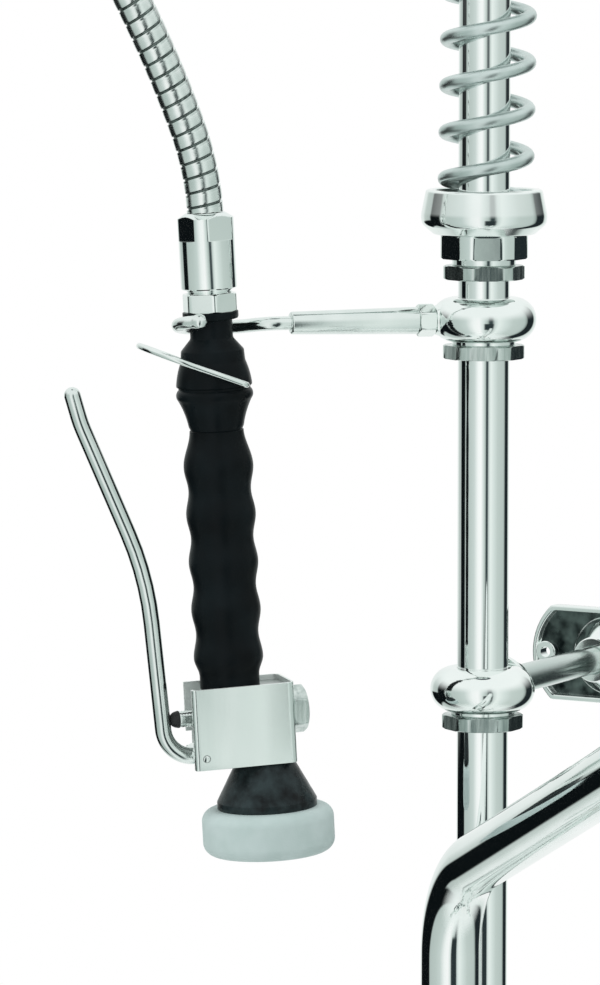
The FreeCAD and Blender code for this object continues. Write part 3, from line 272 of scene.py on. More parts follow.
def fitted(made, material, *nodes):
    """The piece rides with the CAD nodes that it stands for, which are hidden. The material is not used."""
    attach(made, frame["nodes"][nodes[0]]["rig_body"])
    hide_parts(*nodes)
    return made


def piece(name, shapes, material, *nodes, place=Matrix()):
    return fitted(shaped(name, shapes, material, place), material, *nodes)


# EPDM rubber, moulded: dull black with a slight bloom
gasket_rubber = finish("moulded_epdm_rubber", "1B1D1E", "131415", 0.55, 0.7, 9, 0.5, 0.03, metallic=0)
# Chrome plate on polished cast brass: bright and cool, with a faint haze and soft casting waves
chrome_casting = finish("chrome_on_polished_cast_brass", "F6FAF8", "ECF2F0", 0.05, 0.09, 45, 14, 0.012)
# Machined brass, left raw: warm, with turning marks drawn coarse enough to show
raw_brass = finish("machined_brass", "D9B978", "BE9A58", 0.25, 0.38, 12, 0.6, 0.02, stretch=(8, 8, 1))
# Zinc-plated steel, pressed: grey-blue and slightly cloudy
zinc_steel = finish("zinc_plated_steel", "C3C8CB", "A3AAAE", 0.3, 0.45, 6, 1.2, 0.01)

piece("deck_gasket_ring", [turned([(16.2, 0), (29, 0, 0.7), (29, 2, 0.7), (16.2, 2)])], gasket_rubber,
    "deck_gasket")
piece("deck_rosette", [turned([(16.2, 2), (30, 2, 0.4), (30, 10, 5.2), (16.2, 10, 0.4)], 8)], chrome_casting,
    "deck_flange")
SHANK_R = 16.0
THREAD_PITCH = 1.5
THREAD_DEPTH = 0.55
thread = [(SHANK_R - 0.8, -62.0)]
for i in range(40):
    root_z = -61.5 + i * THREAD_PITCH
    thread += [(SHANK_R - THREAD_DEPTH, root_z), (SHANK_R, root_z + 0.65), (SHANK_R, root_z + 0.85)]
piece("deck_shank", [lathe([(13, -62)] + thread + [(SHANK_R, 10), (13, 10)])], raw_brass, "mounting_shank")
piece("deck_washer", [turned([(16.2, -27), (26, -27, 0.4), (26, -24, 0.9), (16.2, -24)])], zinc_steel,
    "clamp_washer")
piece("deck_nut", [nut(46, 9, 16.02, -36)], raw_brass, "deck_locknut")


# Mixer body: one sand-cast brass piece with two side arms and a head for riser and spout, polished
# and chromed, with two copper tails screwed into its foot.
def applied(made):
    """The object's modifiers become its mesh."""
    graph = bpy.context.evaluated_depsgraph_get()
    mesh = bpy.data.meshes.new_from_object(made.evaluated_get(graph))
    made.modifiers.clear()
    made.data = mesh


def softened(name, node, voxel, rounds, share, material):
    """Copy of a CAD solid with rounded edges, as a polished casting has: voxel in mm, smoothing rounds."""
    mesh = frame["nodes"][node].data.copy()
    mesh.materials.clear()
    mesh.materials.append(material)
    made = linked(name, mesh)
    weld = made.modifiers.new("Weld", "WELD")
    weld.merge_threshold = 1e-6
    remesh = made.modifiers.new("Remesh", "REMESH")
    remesh.mode = "VOXEL"
    remesh.voxel_size = voxel * MM
    relax = made.modifiers.new("Smooth", "SMOOTH")
    relax.factor = 0.5
    relax.iterations = rounds
    thin = made.modifiers.new("Decimate", "DECIMATE")
    thin.ratio = share
    applied(made)
    smooth_over(made.data, 50)
    return made


fitted(softened("mixer_casting", "mixer_body", 0.8, 6, 0.35, chrome_casting), chrome_casting, "mixer_body")
# Soft copper tube, drawn: salmon, darkened in patches where it was handled
copper_tube = finish("drawn_copper_tube", "D99A7C", "A9664B", 0.22, 0.4, 18, 1.0, 0.01, stretch=(1, 1, 5))
for name, x in (("hot", -6.5), ("cold", 6.5)):
    piece(name + "_copper_tail", [turned([(4, -148), (5, -148, 0.3), (5, 22), (4, 22)], sides=40)],
        copper_tube, name + "_tail", place=Matrix.Translation((x, 0, 0)))


# Headworks, spindles and lever handles: three alike, for hot, cold and the spout's own valve. The
# headwork is machined brass under chrome and the lever handle is cast, polished and chromed.
def bent(points, radii, step=6.0):
    """Points along straight runs joined by arcs, a step in degrees apart on the arcs."""
    spots = [Vector(point) for point in points]
    path = [spots[0]]
    for i, radius in enumerate(radii, 1):
        before = (spots[i] - spots[i - 1]).normalized()
        after = (spots[i + 1] - spots[i]).normalized()
        turn = before.angle(after)
        start = spots[i] - before * radius * math.tan(turn / 2)
        inward = (after - before * before.dot(after)).normalized()
        count = max(2, int(math.degrees(turn) / step))
        for k in range(count + 1):
            angle = turn * k / count
            path.append(start + before * radius * math.sin(angle) + inward * radius * (1 - math.cos(angle)))
    path.append(spots[-1])
    return path


def bar(path, radii, sides=32, bore_r=None):
    """Round bar through points, one radius for each, with closed ends. With a bore it is a tube."""
    spots = [Vector(point) for point in path]
    heads = [(spots[min(i + 1, len(spots) - 1)] - spots[max(i - 1, 0)]).normalized()
        for i in range(len(spots))]
    across = heads[0].orthogonal().normalized()
    angles = np.linspace(0, 2 * math.pi, sides, endpoint=False)
    outer, inner = [], []
    for i, (spot, head) in enumerate(zip(spots, heads)):
        if i:
            across = heads[i - 1].rotation_difference(head) @ across
        other = head.cross(across)
        ring = [across * math.cos(a) + other * math.sin(a) for a in angles]
        outer.append([spot + arm * radii[i] for arm in ring] if radii[i] > 1e-6 else [spot])
        inner.append([spot + arm * (bore_r or 0) for arm in ring])
    if bore_r:
        return skin(outer + inner[::-1], True)
    first = [] if len(outer[0]) == 1 else [[spots[0]]]
    last = [] if len(outer[-1]) == 1 else [[spots[-1]]]
    return skin(first + outer + last)


def dome(path, radius, steps=8):
    """A path carried on by a half ball at its end, and the radii that go with all its points."""
    spots = [Vector(point) for point in path]
    head = (spots[-1] - spots[-2]).normalized()
    angles = [math.pi / 2 * k / steps for k in range(1, steps + 1)]
    ball = [spots[-1] + head * radius * math.sin(a) for a in angles]
    ball_radii = [radius * math.cos(a) if a < math.pi / 2 - 1e-6 else 0.0 for a in angles]
    return spots + ball, [radius] * len(spots) + ball_radii


def worked(made, shapes, operation, place=Matrix()):
    """Cuts shapes from an object, or joins them to it."""
    tool = shaped("tool", shapes, made.data.materials[0], place)
    change = made.modifiers.new("Work", "BOOLEAN")
    change.operation = operation
    change.solver = "EXACT"
    change.object = tool
    applied(made)
    bpy.data.objects.remove(tool)
    smooth_over(made.data)


# Chrome plate on machined brass: crisp flats with a light haze
chrome_machined = finish("chrome_on_machined_brass", "F4F8F6", "E6EEEB", 0.06, 0.12, 25, 2.0, 0.004)
HUB_R = 16.0
LEVER_Z = 20.1
LEVER_END = 62.0
corner_r = 24 / math.sqrt(3)
headwork = lathe([(4.05, -10), (9.4, -10), (10, -9.4), (10, 0), (11.6, 0), (corner_r, 1.3), (corner_r, 5.7),
    (11.6, 7), (8.5, 7), (8.5, 11.5), (8, 12), (4.05, 12)], flats=(24, 0, 7, 0))
hub = turned([(4.05, 13), (10, 13), (13.5, 8, 0.6), (HUB_R, 8, 0.6), (HUB_R, 30, 6.5), (0, 30), (0, 24.05),
    (4.05, 24.05)], 8)
lever_path = [Vector((0, 6 + (LEVER_END - 6) * k / 12, LEVER_Z + 4 * k / 12)) for k in range(13)]
lever_spots, lever_radii = dome(lever_path, 4.0)
lever_radii[:13] = [5.2 - 1.2 * math.sin(math.pi / 2 * k / 12) for k in range(13)]
spindle = turned([(0, -9), (4, -9, 0.4), (4, 24, 0.6), (0, 24)], sides=48)
VALVES = (
    ("hot", (-46, 0, 46), -X_AXIS, -90),
    ("cold", (46, 0, 46), X_AXIS, 90),
    ("spout", (0, -60, 95), -Y_AXIS, 0))
for name, spot, axis, roll in VALVES:
    place = turned_to(axis, spot) @ Matrix.Rotation(math.radians(roll), 4, "Z")
    piece(name + "_valve_headwork", [headwork], chrome_machined, name + "_headwork", place=place)
    piece(name + "_valve_spindle", [spindle], raw_brass, name + "_spindle", place=place)
    handle = shaped(name + "_lever_handle", [hub], chrome_casting, place)
    worked(handle, [bar(lever_spots, lever_radii)], "UNION", place)
    fitted(handle, chrome_casting, name + "_handle")


# Riser: 25 mm drawn brass tube under chrome, held in the body by a slotted nut. The fitting that
# joins it to the hose is a hexagon nut with a crimped ferrule above it.
def new_tree(name, **kinds):
    """Geometry Nodes tree with inputs, their names given by kind of socket, and its input sockets."""
    tree = bpy.data.node_groups.new(name, "GeometryNodeTree")
    for kind, labels in {"Geometry": "Geometry", **kinds}.items():
        for label in labels.split():
            tree.interface.new_socket(label, in_out="INPUT", socket_type="NodeSocket" + kind)
    tree.interface.new_socket("Geometry", in_out="OUTPUT", socket_type="NodeSocketGeometry")
    return tree, add(tree, "NodeGroupInput").outputs


def close_tree(tree, geometry, material):
    whole = add(tree, "GeometryNodeRealizeInstances", [geometry])
    painted = add(tree, "GeometryNodeSetMaterial", {"Geometry": whole, "Material": material})
    add(tree, "NodeGroupOutput", [painted])


def grown(name, mesh, tree, **sizes):
    """Object that a tree makes from a mesh, with the tree's inputs set by identifier."""
    made = linked(name, mesh)
    modifier = made.modifiers.new("Shape", "NODES")
    modifier.node_group = tree
    for item in tree.interface.items_tree:
        if item.in_out == "INPUT" and item.name in sizes:
            modifier[item.identifier] = sizes[item.name]
    applied(made)
    smooth_over(made.data)
    return made


# Holes or slots through a piece, evenly round its axis: a prism of some sides is cut at each place
ring_of_holes, given = new_tree("ring_of_holes", Int="Count Sides", Float="Ring Hole Depth Height Turn",
    Material="Material")
tree = ring_of_holes
places = add(tree, "GeometryNodeMeshCircle", {"Vertices": given["Count"], "Radius": given["Ring"]})
prism_tool = add(tree, "GeometryNodeMeshCylinder", {"Vertices": given["Sides"], "Radius": given["Hole"],
    "Depth": given["Depth"]})
part_turn = add(tree, "Math", [add(tree, "GeometryNodeInputIndex"), given["Count"]], operation="DIVIDE")
full_turn = add(tree, "Math", [part_turn, 2 * math.pi, math.pi / 4], operation="MULTIPLY_ADD")
facing = add(tree, "FunctionNodeEulerToRotation", [add(tree, "CombineXYZ", {"Z": full_turn})])
tools = add(tree, "GeometryNodeInstanceOnPoints", {"Points": places, "Instance": prism_tool,
    "Rotation": facing})
lift = add(tree, "CombineXYZ", {"Z": given["Height"]})
spin = add(tree, "CombineXYZ", {"Z": given["Turn"]})
raised = add(tree, "GeometryNodeTransform", {"Geometry": tools, "Translation": lift, "Rotation": spin})
loose = add(tree, "GeometryNodeRealizeInstances", [raised])
drilled = add(tree, "GeometryNodeMeshBoolean", [given["Geometry"], loose], operation="DIFFERENCE",
    solver="EXACT")
close_tree(tree, drilled, given["Material"])


def in_metres(place):
    """A place given in mm, for points in metres."""
    return Matrix.Scale(MM, 4) @ place @ Matrix.Scale(1 / MM, 4)


def drilled_piece(name, shapes, material, node, place=Matrix(), **sizes):
    """A turned piece with a ring of holes, made in its own frame and then put in its place."""
    blank = shaped("blank", shapes, material)
    made = grown(name, blank.data, ring_of_holes, Material=material, **sizes)
    bpy.data.objects.remove(blank)
    made.data.transform(in_metres(place))
    fitted(made, material, node)


# Chrome plate on drawn tube: the clearest mirror of the object, with faint polishing lines along it
chrome_tube = finish("chrome_on_drawn_brass_tube", "F8FBFA", "F0F5F3", 0.035, 0.07, 30, 2.5, 0.0015,
    stretch=(1, 1, 12))
RISER_R = 12.5
BORE_R = RISER_R + 0.05
piece("riser_pipe", [turned([(11, 96), (RISER_R, 96, 0.4), (RISER_R, 700, 0.4), (11, 700)], sides=144)],
    chrome_tube, "riser_tube")
drilled_piece("riser_slotted_nut",
    [turned([(BORE_R, 112), (16.5, 112, 0.4), (16.5, 124, 1.2), (BORE_R, 124)])], chrome_machined,
    "riser_nut", Count=4, Ring=0.0165, Hole=0.00283, Sides=4, Depth=0.0072, Height=0.118, Turn=math.pi / 4)
corner_r = 27 / math.sqrt(3)
fitting = [(BORE_R, 690), (13.1, 690), (corner_r, 691.44), (corner_r, 704.56), (13.1, 706), (8.5, 706),
    (8.5, 708), (11.3, 708.8), (11.5, 709.2)]
for groove_z in (713.0, 718.0, 723.0):
    fitting += [(11.5, groove_z), (11.0, groove_z + 0.5), (11.0, groove_z + 1.3), (11.5, groove_z + 1.8)]
fitting += [(11.5, 727), (10.6, 728), (6, 728), (6, 700), (BORE_R, 700)]
piece("hose_top_nut", [lathe(fitting, flats=(27, 690, 706, 0))], chrome_machined, "hose_top_fitting")

# Swing spout: 29 mm brass tube bent twice, polished and chromed, on a turned spigot with two rubber
# O-rings and a plastic slip ring. Its outlet carries an aerator: a chromed housing and a moulded insert.
SPOUT_R = 14.5
SPOUT_Y = -32
SPOUT_REACH = 285.0
SPOUT_TURN = math.radians(-40)
spout_foot = Vector((0, SPOUT_Y, 113.5))
SPOUT_TOP_Z = 355.65
SPOUT_DROP = 76
outlet_y = SPOUT_Y + SPOUT_REACH * math.sin(SPOUT_TURN)
spout_end = Vector((SPOUT_REACH * math.cos(SPOUT_TURN), outlet_y, SPOUT_TOP_Z))
spout_outlet = spout_end - Z_AXIS * SPOUT_DROP
spout_path = bent([spout_foot, (0, SPOUT_Y, 240.5), spout_end, spout_outlet], [55, 40], 2.5)
spout_wall = bar(spout_path, [SPOUT_R] * len(spout_path), 72, 13.3)
o_ring_grooves = [(11, 98.9), (9.1, 98.95), (9.1, 101.05), (11, 101.1), (11, 104.9), (9.1, 104.95),
    (9.1, 107.05), (11, 107.1)]
spigot_top = [(11, 113.5), (13.25, 113.5), (13.25, 115.5), (8, 115.5)]
spigot = lathe([(8, 94), (10.5, 94), (11, 94.5)] + o_ring_grooves + spigot_top)
spigot = (spigot[0] + np.array([0, SPOUT_Y, 0]), spigot[1])
# The same chrome on tube, but without lines along one axis, because the tube bends
chrome_bent = finish("chrome_on_bent_brass_tube", "F8FBFA", "EFF4F2", 0.04, 0.08, 38, 9, 0.004)
piece("spout_bent_tube", [spout_wall, spigot], chrome_bent, "spout_tube")
# Acetal, moulded: milky white and waxy
acetal = finish("moulded_acetal", "E6E4DC", "DAD7CD", 0.35, 0.5, 8, 0.6, 0.01, metallic=0)
slip_ring = turned([(11.3, 112, 0.2), (14, 112, 0.2), (14, 113.2, 0.2), (11.3, 113.2, 0.2)])
spout_place = Matrix.Translation((0, SPOUT_Y, 0))
piece("spout_glide_ring", [slip_ring], acetal, "spout_slip_ring", place=spout_place)


def o_ring(mean_r, cord_r, height, sides=20):
    """Rubber ring of a round cord."""
    turns = np.linspace(0, 2 * math.pi, sides, endpoint=False)
    return lathe([(mean_r + cord_r * math.cos(a), height + cord_r * math.sin(a)) for a in turns], 72)


# Nitrile rubber O-rings: black, slightly shiny with grease
nitrile = finish("greased_nitrile_rubber", "191A1B", "101112", 0.25, 0.4, 4, 0.4, 0.005, metallic=0)
piece("spout_seals", [o_ring(10, 1.0, 100), o_ring(10, 1.0, 106)], nitrile, "spout_o_rings",
    place=spout_place)
outlet_place = Matrix.Translation(spout_outlet)
piece("aerator_shell",
    [turned([(11, 0), (14, 0, 0.3), (14, -2.6, 0.2), (13.5, -2.9, 0.2), (13.5, -3.4, 0.2), (14, -3.7, 0.2),
    (14, -14, 2.2), (9.5, -14, 0.4), (9.5, -12), (11, -12)])], chrome_machined, "aerator_housing",
    place=outlet_place)
# Polypropylene, moulded: grey-white and matt
mesh_plastic = finish("moulded_polypropylene", "C9CCCB", "B7BBBA", 0.45, 0.6, 5, 0.5, 0.01, metallic=0)
drilled_piece("aerator_core", [turned([(0, -12), (10.95, -12, 0.4), (10.95, -2, 0.4), (0, -2)])],
    mesh_plastic, "aerator_insert", place=outlet_place, Count=6, Ring=0.00605, Hole=0.0015, Sides=20,
    Depth=0.014, Height=-0.007, Turn=0.0)


# Clamp rings: two fat rings of cast, polished and chromed brass on the riser, one for the wall rod
# and one for the hook arm. A hexagon nut with its corners turned off presses each one's collar up.
RING_R = 14.8
SECTION_R = 10.7


def ring_outline():
    """Section of the fat part, a circle about the ring's mean radius, with the collar under it."""
    angles = np.radians(np.linspace(-86.25, 102.1, 46))
    arc = [(RING_R + SECTION_R * math.cos(a), SECTION_R * math.sin(a)) for a in angles]
    return [(BORE_R, -12.4), (15.1, -12.4), (15.5, -12.0), (15.5, -10.75)] + arc


WALL_Z = 330.0
NUT_R = 19.75
HOOK_Z = 510.8
wall_clamp = shaped("wall_clamp_ring", [lathe(ring_outline(), 128)], chrome_casting,
    Matrix.Translation((0, 0, WALL_Z)))
along_stay = turned_to(Y_AXIS, (0, 0, WALL_Z))
worked(wall_clamp, [pipe(0, 7, 22, 40)], "DIFFERENCE", along_stay)
wall_boss = turned([(7, 22), (7, 31, 0.5), (10, 31, 0.8), (11.2, 25.5, 3.0), (14, 20.5, 1.0), (14, 17),
    (7, 17)])
worked(wall_clamp, [wall_boss], "UNION", along_stay)
fitted(wall_clamp, chrome_casting, "wall_ring")
# Satin chrome over a machined nut: faint upright streaks, softer and greyer than the castings. The wall
# ring's nut takes a copy of it coloured darker, painted shade
satin_nut = finish("satin_chrome_on_machined_nut", "DDE5E2", "B4C0BC", 0.13, 0.24, 3, 0.8, 0.012,
    stretch=(1, 1, 9))
shaded_nut = finish("satin_chrome_nut_painted_darker", "C6D0CD", "93A19E", 0.13, 0.24, 3, 0.8, 0.012,
    stretch=(1, 1, 9))
piece("wall_clamp_nut", [nut(36.7, 6.8, BORE_R, WALL_Z - 19.2, 29.3, NUT_R)], shaded_nut, "wall_ring_nut")

# Wall bracket: a drawn rod goes from the ring into the hub of a cast flange, which has a raised
# rim, a dished face and a boss round each screw hole. All of it is chromed.
# Brushed chrome on rod: fine lines along it, drawn coarse enough to show
brushed_rod = finish("brushed_chrome_rod", "D6DFDC", "BCC8C4", 0.16, 0.26, 10, 0.7, 0.006,
    stretch=(1, 14, 1))
piece("wall_stay", [turned([(0, 22), (7, 22, 0.3), (7, 136, 0.3), (0, 136)], sides=72)], brushed_rod,
    "wall_rod", place=along_stay)


FLANGE_HALF_W = 42.5
FLAT_HALF_W = 32.0
FLANGE_HALF_H = 24.3


def flange_loop(inset, depth):
    """Outline of the flange, flat above and below and bowed at the ends, drawn in from its edge."""
    half_w, half_top, half_h = FLANGE_HALF_W - inset, FLAT_HALF_W - 0.8 * inset, FLANGE_HALF_H - inset
    centre = (half_w ** 2 - half_top ** 2 - half_h ** 2) / (2 * (half_w - half_top))
    radius = half_w - centre
    reach = math.asin(half_h / radius) * 0.985
    arc = [(centre + radius * math.cos(a), radius * math.sin(a)) for a in np.linspace(-reach, reach, 25)]
    side = [(half_top * x, half_h) for x in np.linspace(0.965, -0.965, 33)]
    right_top = arc + side
    whole = right_top + [(-x, -z) for x, z in right_top]
    return [(x, -depth, z) for x, z in whole]


def hub_loop(radius, depth):
    """Circle with its points in line with the outline's."""
    angles = [math.atan2(z, x) for x, y, z in flange_loop(0, 0)]
    return [(radius * math.cos(a), -depth, radius * math.sin(a)) for a in angles]


flange_loops = [[(0, 0, 0)], flange_loop(1.2, 0), flange_loop(0.5, 0), flange_loop(0.15, 0.15),
    flange_loop(0, 0.5), flange_loop(0, 5.7), flange_loop(0.22, 6.25), flange_loop(0.7, 6.5),
    flange_loop(1.9, 6.5), flange_loop(2.4, 6.3), flange_loop(2.6, 5.9), flange_loop(2.8, 3.9),
    flange_loop(3.1, 3.3), flange_loop(3.9, 3.0)]
for hub_r, depth in ((20.6, 3.0), (20.0, 3.15), (19.5, 3.5), (19.1, 4.1), (11.6, 20.9), (11.3, 22.0),
        (10.8, 22.5), (7.4, 22.5), (7.0, 22.1), (7.0, 4.0)):
    flange_loops.append(hub_loop(hub_r, depth))
flange_loops.append([(0, -4.0, 0)])
FLANGE_Y = 140.0
DISH_DEPTH = 3.0
flange_place = Matrix.Translation((0, FLANGE_Y, WALL_Z))
wall_plate = shaped("wall_flange_casting", [skin(flange_loops)], chrome_casting, flange_place)
for x in (-35.0, 35.0):
    screw_place = flange_place @ turned_to(-Y_AXIS, (x, 0, 0))
    screw_boss = turned([(0, 1), (6.6, 1), (5.9, 3.6, 0.8), (5.5, 6.5, 0.6), (0, 6.5)], sides=48)
    worked(wall_plate, [screw_boss], "UNION", screw_place)
    worked(wall_plate, [pipe(0, 2.75, -1, 9, 40)], "DIFFERENCE", screw_place)
# Dished face: cast and plated but not polished, so rougher; its dark, mottled colour is painted shade
dish_painted_shade = finish("chrome_with_painted_shade_in_dish", "6C7976", "161D1E", 0.2, 0.42, 8, 1.4, 0.03)
wall_plate.data.materials.append(dish_painted_shade)
for face in wall_plate.data.polygons:
    if abs(face.center.y / MM - (FLANGE_Y - DISH_DEPTH)) < 0.3 and face.normal.y < -0.9:
        face.material_index = 1
fitted(wall_plate, chrome_casting, "wall_flange")

# Hook arm: the upper ring has a studded boss. A tapered sleeve is screwed on the stud and locked by
# a small nut, and a polished steel rod, bent into an open hook with a ball at its tip, is pressed into it.
ARM_BEARING = math.radians(225)
GUN_OUT = 136.45
GUN_Z = 513.4
GUN_TILT = math.radians(3)
ARM = Matrix.Rotation(ARM_BEARING, 4, "Z")
GUN = ARM @ Matrix.Translation((GUN_OUT, 0, GUN_Z)) @ Matrix.Rotation(GUN_TILT, 4, "Y")
arm_place = ARM @ Matrix.Translation((0, 0, HOOK_Z))
along_arm = arm_place @ turned_to(X_AXIS)
hook_clamp = shaped("hook_clamp_ring", [lathe(ring_outline(), 128)], chrome_casting, arm_place)
hook_boss = turned([(0, 15), (10.7, 15), (6.9, 25.0, 0.8), (6.2, 25.6, 0.3), (4, 25.6), (4, 46, 0.5),
    (0, 46)])
worked(hook_clamp, [hook_boss], "UNION", along_arm)
fitted(hook_clamp, chrome_casting, "hook_ring")
piece("hook_clamp_nut", [nut(37.2, 6.6, BORE_R, HOOK_Z - 19.0, 28.5, NUT_R)], satin_nut, "hook_ring_nut")
piece("hook_arm_nut", [nut(14, 8, 4.02, 25.6)], chrome_machined, "hook_locknut", place=along_arm)
# Chrome on a turned and polished sleeve, with a trace of polishing lines
chrome_sleeve = finish("chrome_on_turned_sleeve", "EEF3F1", "DFE7E4", 0.08, 0.15, 22, 1.2, 0.004)
piece("hook_arm_sleeve",
    [turned([(0, 46), (4, 46), (4, 33.6), (6.6, 33.6, 0.6), (5.45, 97, 0.9), (3.35, 97), (3.35, 76),
    (0, 76)])], chrome_sleeve, "hook_sleeve", place=along_arm)
LOOP_R = 16.0
LOOP_FRONT = 2.1
LOOP_TURN = math.radians(144)
HOOK_ROLL = math.radians(10)
ROD_R = 3.3
BALL_R = 3.85
loop_centre = Vector((GUN_OUT, LOOP_FRONT, 0))
back_y = LOOP_FRONT - LOOP_R
hook_path = bent([(76, 0, 0), (109.5, 0, 0), (119.5, back_y, 0), (GUN_OUT, back_y, 0)], [16.4, 16.4], 4)
neck_back = math.sqrt(BALL_R ** 2 - ROD_R ** 2)
loop_end = LOOP_TURN - neck_back / LOOP_R
for k in range(1, 37):
    angle = loop_end * k / 36 - math.pi / 2
    hook_path.append(loop_centre + Vector((math.cos(angle), math.sin(angle), 0)) * LOOP_R)
hook_radii = [ROD_R] * len(hook_path)
tip_head = Vector((math.cos(LOOP_TURN), math.sin(LOOP_TURN), 0))
tip_angle = LOOP_TURN - math.pi / 2
ball = loop_centre + Vector((math.cos(tip_angle), math.sin(tip_angle), 0)) * LOOP_R
for angle in np.linspace(-math.asin(neck_back / BALL_R), math.pi / 2, 16)[1:]:
    hook_path.append(ball + tip_head * BALL_R * math.sin(angle))
    hook_radii.append(max(BALL_R * math.cos(angle), 0.0) if angle < math.pi / 2 - 1e-6 else 0.0)
# Stainless rod, polished: bright, a little darker than chrome
polished_steel = finish("polished_stainless_rod", "EDF2F0", "DCE4E1", 0.08, 0.14, 20, 2.5, 0.003)
hook_place = arm_place @ Matrix.Rotation(HOOK_ROLL, 4, "X")
piece("hook_bent_rod", [bar(hook_path, hook_radii, 36)], polished_steel, "hook_rod", place=hook_place)

# Spring cup: turned brass under chrome, open above for the spring and with six flats on its foot. A
# locknut holds it at its height on the riser.
cup_outline = filleted([(BORE_R, 537), (15.5, 537, 0.5), (15.5, 540.2), (20.6, 540.2), (21.2, 540.8),
    (21.2, 551.1), (21.2, 551.5), (24.6, 552.2, 2.5), (30.1, 557, 4.5), (30.7, 560.8, 12),
    (28.2, 573.7, 1.6), (24.2, 573.7, 0.9), (24.2, 556, 1.5), (BORE_R, 556)], 9)
piece("spring_cup_turned", [lathe(cup_outline, flats=(39.5, 540.2, 551.2, 33.0))], chrome_casting,
    "spring_cup")
piece("spring_cup_nut", [nut(36.6, 6.8, BORE_R, 530.2, 35.6, NUT_R)], satin_nut, "cup_locknut")

# Hose: a rubber water line inside a flexible guard of interlocked stainless strip. It leaves the top
# fitting upward, goes over in one arch and comes down to the gun, which hangs on it and on the hook.
HOSE_ROUTE = [(0.0, 0.728), (0.0, 0.782), (0.0271, 0.8296), (0.0743, 0.8575), (0.129, 0.8583),
    (0.177, 0.8319), (0.2055, 0.7852), (0.2069, 0.7304), (0.1745, 0.6667), (0.1569, 0.6296),
    (0.1402, 0.5852), (0.13913, 0.56453)]
HOSE_D = 0.0175
STRIP_PITCH = 0.0074
GROOVE = 0.001
arm_out = ARM.to_3x3() @ X_AXIS
arm_side = ARM.to_3x3() @ Y_AXIS
route = bpy.data.curves.new("hose_route", "CURVE")
route.dimensions = "3D"
spline = route.splines.new("NURBS")
spline.points.add(len(HOSE_ROUTE) - 1)
for point, (out, height) in zip(spline.points, HOSE_ROUTE):
    point.co = (arm_out.x * out, arm_out.y * out, height, 1)
spline.order_u = 3
spline.use_endpoint_u = True
route.resolution_u = 24
route_object = linked("hose_route", route)
line_mesh = bpy.data.meshes.new_from_object(
    route_object.evaluated_get(bpy.context.evaluated_depsgraph_get()))
hose_points = [vertex.co.copy() for vertex in line_mesh.vertices]
bpy.data.objects.remove(route_object)

# A strip wound on a path: a grid with one row of faces round the hose for each turn, whose long edges
# meet. Its height across the strip comes from the curve, and past the path's ends it closes on the middle.
wound_strip, given = new_tree("wound_strip", Float="Radius Groove Pitch", Vector="Side", Int="Steps Rows",
    Material="Material Gap")
tree = wound_strip


def off_path(tree, path, run, angle, radius, side):
    """Point beside a path, a run along it, at a radius and an angle about it from a fixed side."""
    centre = add(tree, "GeometryNodeSampleCurve", {"Curves": path, "Length": run}, mode="LENGTH").outputs
    ahead = add(tree, "VectorMath", [side, centre["Tangent"]], operation="CROSS_PRODUCT")
    cosine = add(tree, "Math", [angle], operation="COSINE")
    sine = add(tree, "Math", [angle], operation="SINE")
    ahead = add(tree, "VectorMath", {0: ahead, "Scale": cosine}, operation="SCALE")
    beside = add(tree, "VectorMath", {0: side, "Scale": sine}, operation="SCALE")
    arm = add(tree, "VectorMath", [ahead, beside], operation="ADD")
    arm = add(tree, "VectorMath", {0: arm, "Scale": radius}, operation="SCALE")
    return add(tree, "VectorMath", [centre["Position"], arm], operation="ADD")


path = add(tree, "GeometryNodeMeshToCurve", [given["Geometry"]])
length = add(tree, "GeometryNodeCurveLength", [path])
strip_turns = add(tree, "Math", [length, given["Pitch"]], operation="DIVIDE")
strip_turns = add(tree, "Math", [strip_turns], operation="CEIL")
strip_turns = add(tree, "Math", [strip_turns, 1.0], operation="ADD")
long_side = add(tree, "Math", [strip_turns, given["Steps"], 1.0], operation="MULTIPLY_ADD")
short_side = add(tree, "Math", [given["Rows"], 1.0], operation="ADD")
strip = add(tree, "GeometryNodeMeshGrid", [1.0, 1.0, long_side, short_side])
flat = add(tree, "SeparateXYZ", [add(tree, "GeometryNodeInputPosition")]).outputs
turn = add(tree, "Math", [flat[0], 0.5], operation="ADD")
turn = add(tree, "Math", [turn, strip_turns], operation="MULTIPLY")
across = add(tree, "Math", [flat[1], 0.5], operation="ADD")
marked = add(tree, "GeometryNodeCaptureAttribute", [strip])
marked.capture_items.new("FLOAT", "across")
tree.links.new(across.outputs[0], marked.inputs[1])
run = add(tree, "Math", [turn, across], operation="ADD")
run = add(tree, "Math", [run, -1.0], operation="ADD")
run = add(tree, "Math", [run, given["Pitch"]], operation="MULTIPLY")
section = add(tree, "FloatCurve", {"Value": across})
# Depth across one turn of the strip: groove, folded lip, fine crease, then the flat body
profile = section.mapping.curves[0]
profile.points[0].location = (0.0, 1.0)
profile.points[1].location = (1.0, 1.0)
for spot in ((0.0625, 0.85), (0.125, 0.05), (0.1875, 0.0), (0.25, 0.12), (0.3125, 0.03), (0.5, 0.0),
        (0.875, 0.02), (0.9375, 0.1)):
    profile.points.new(*spot)
for point in profile.points:
    point.handle_type = "VECTOR"
section.mapping.update()
past_start = add(tree, "Math", [run, -0.00001], operation="GREATER_THAN")
before_end = add(tree, "Math", [run, length], operation="LESS_THAN")
on_hose = add(tree, "Math", [past_start, before_end], operation="MULTIPLY")
depth = add(tree, "Math", [section, given["Groove"]], operation="MULTIPLY")
radius = add(tree, "Math", [given["Radius"], depth], operation="SUBTRACT")
radius = add(tree, "Math", [radius, on_hose], operation="MULTIPLY")
angle = add(tree, "Math", [turn, 2 * math.pi], operation="MULTIPLY")
spot = off_path(tree, path, run, angle, radius, given["Side"])
strip = add(tree, "GeometryNodeSetPosition", {"Geometry": marked, "Position": spot})
strip = add(tree, "GeometryNodeSetMaterial", {"Geometry": strip, "Material": given["Material"]})
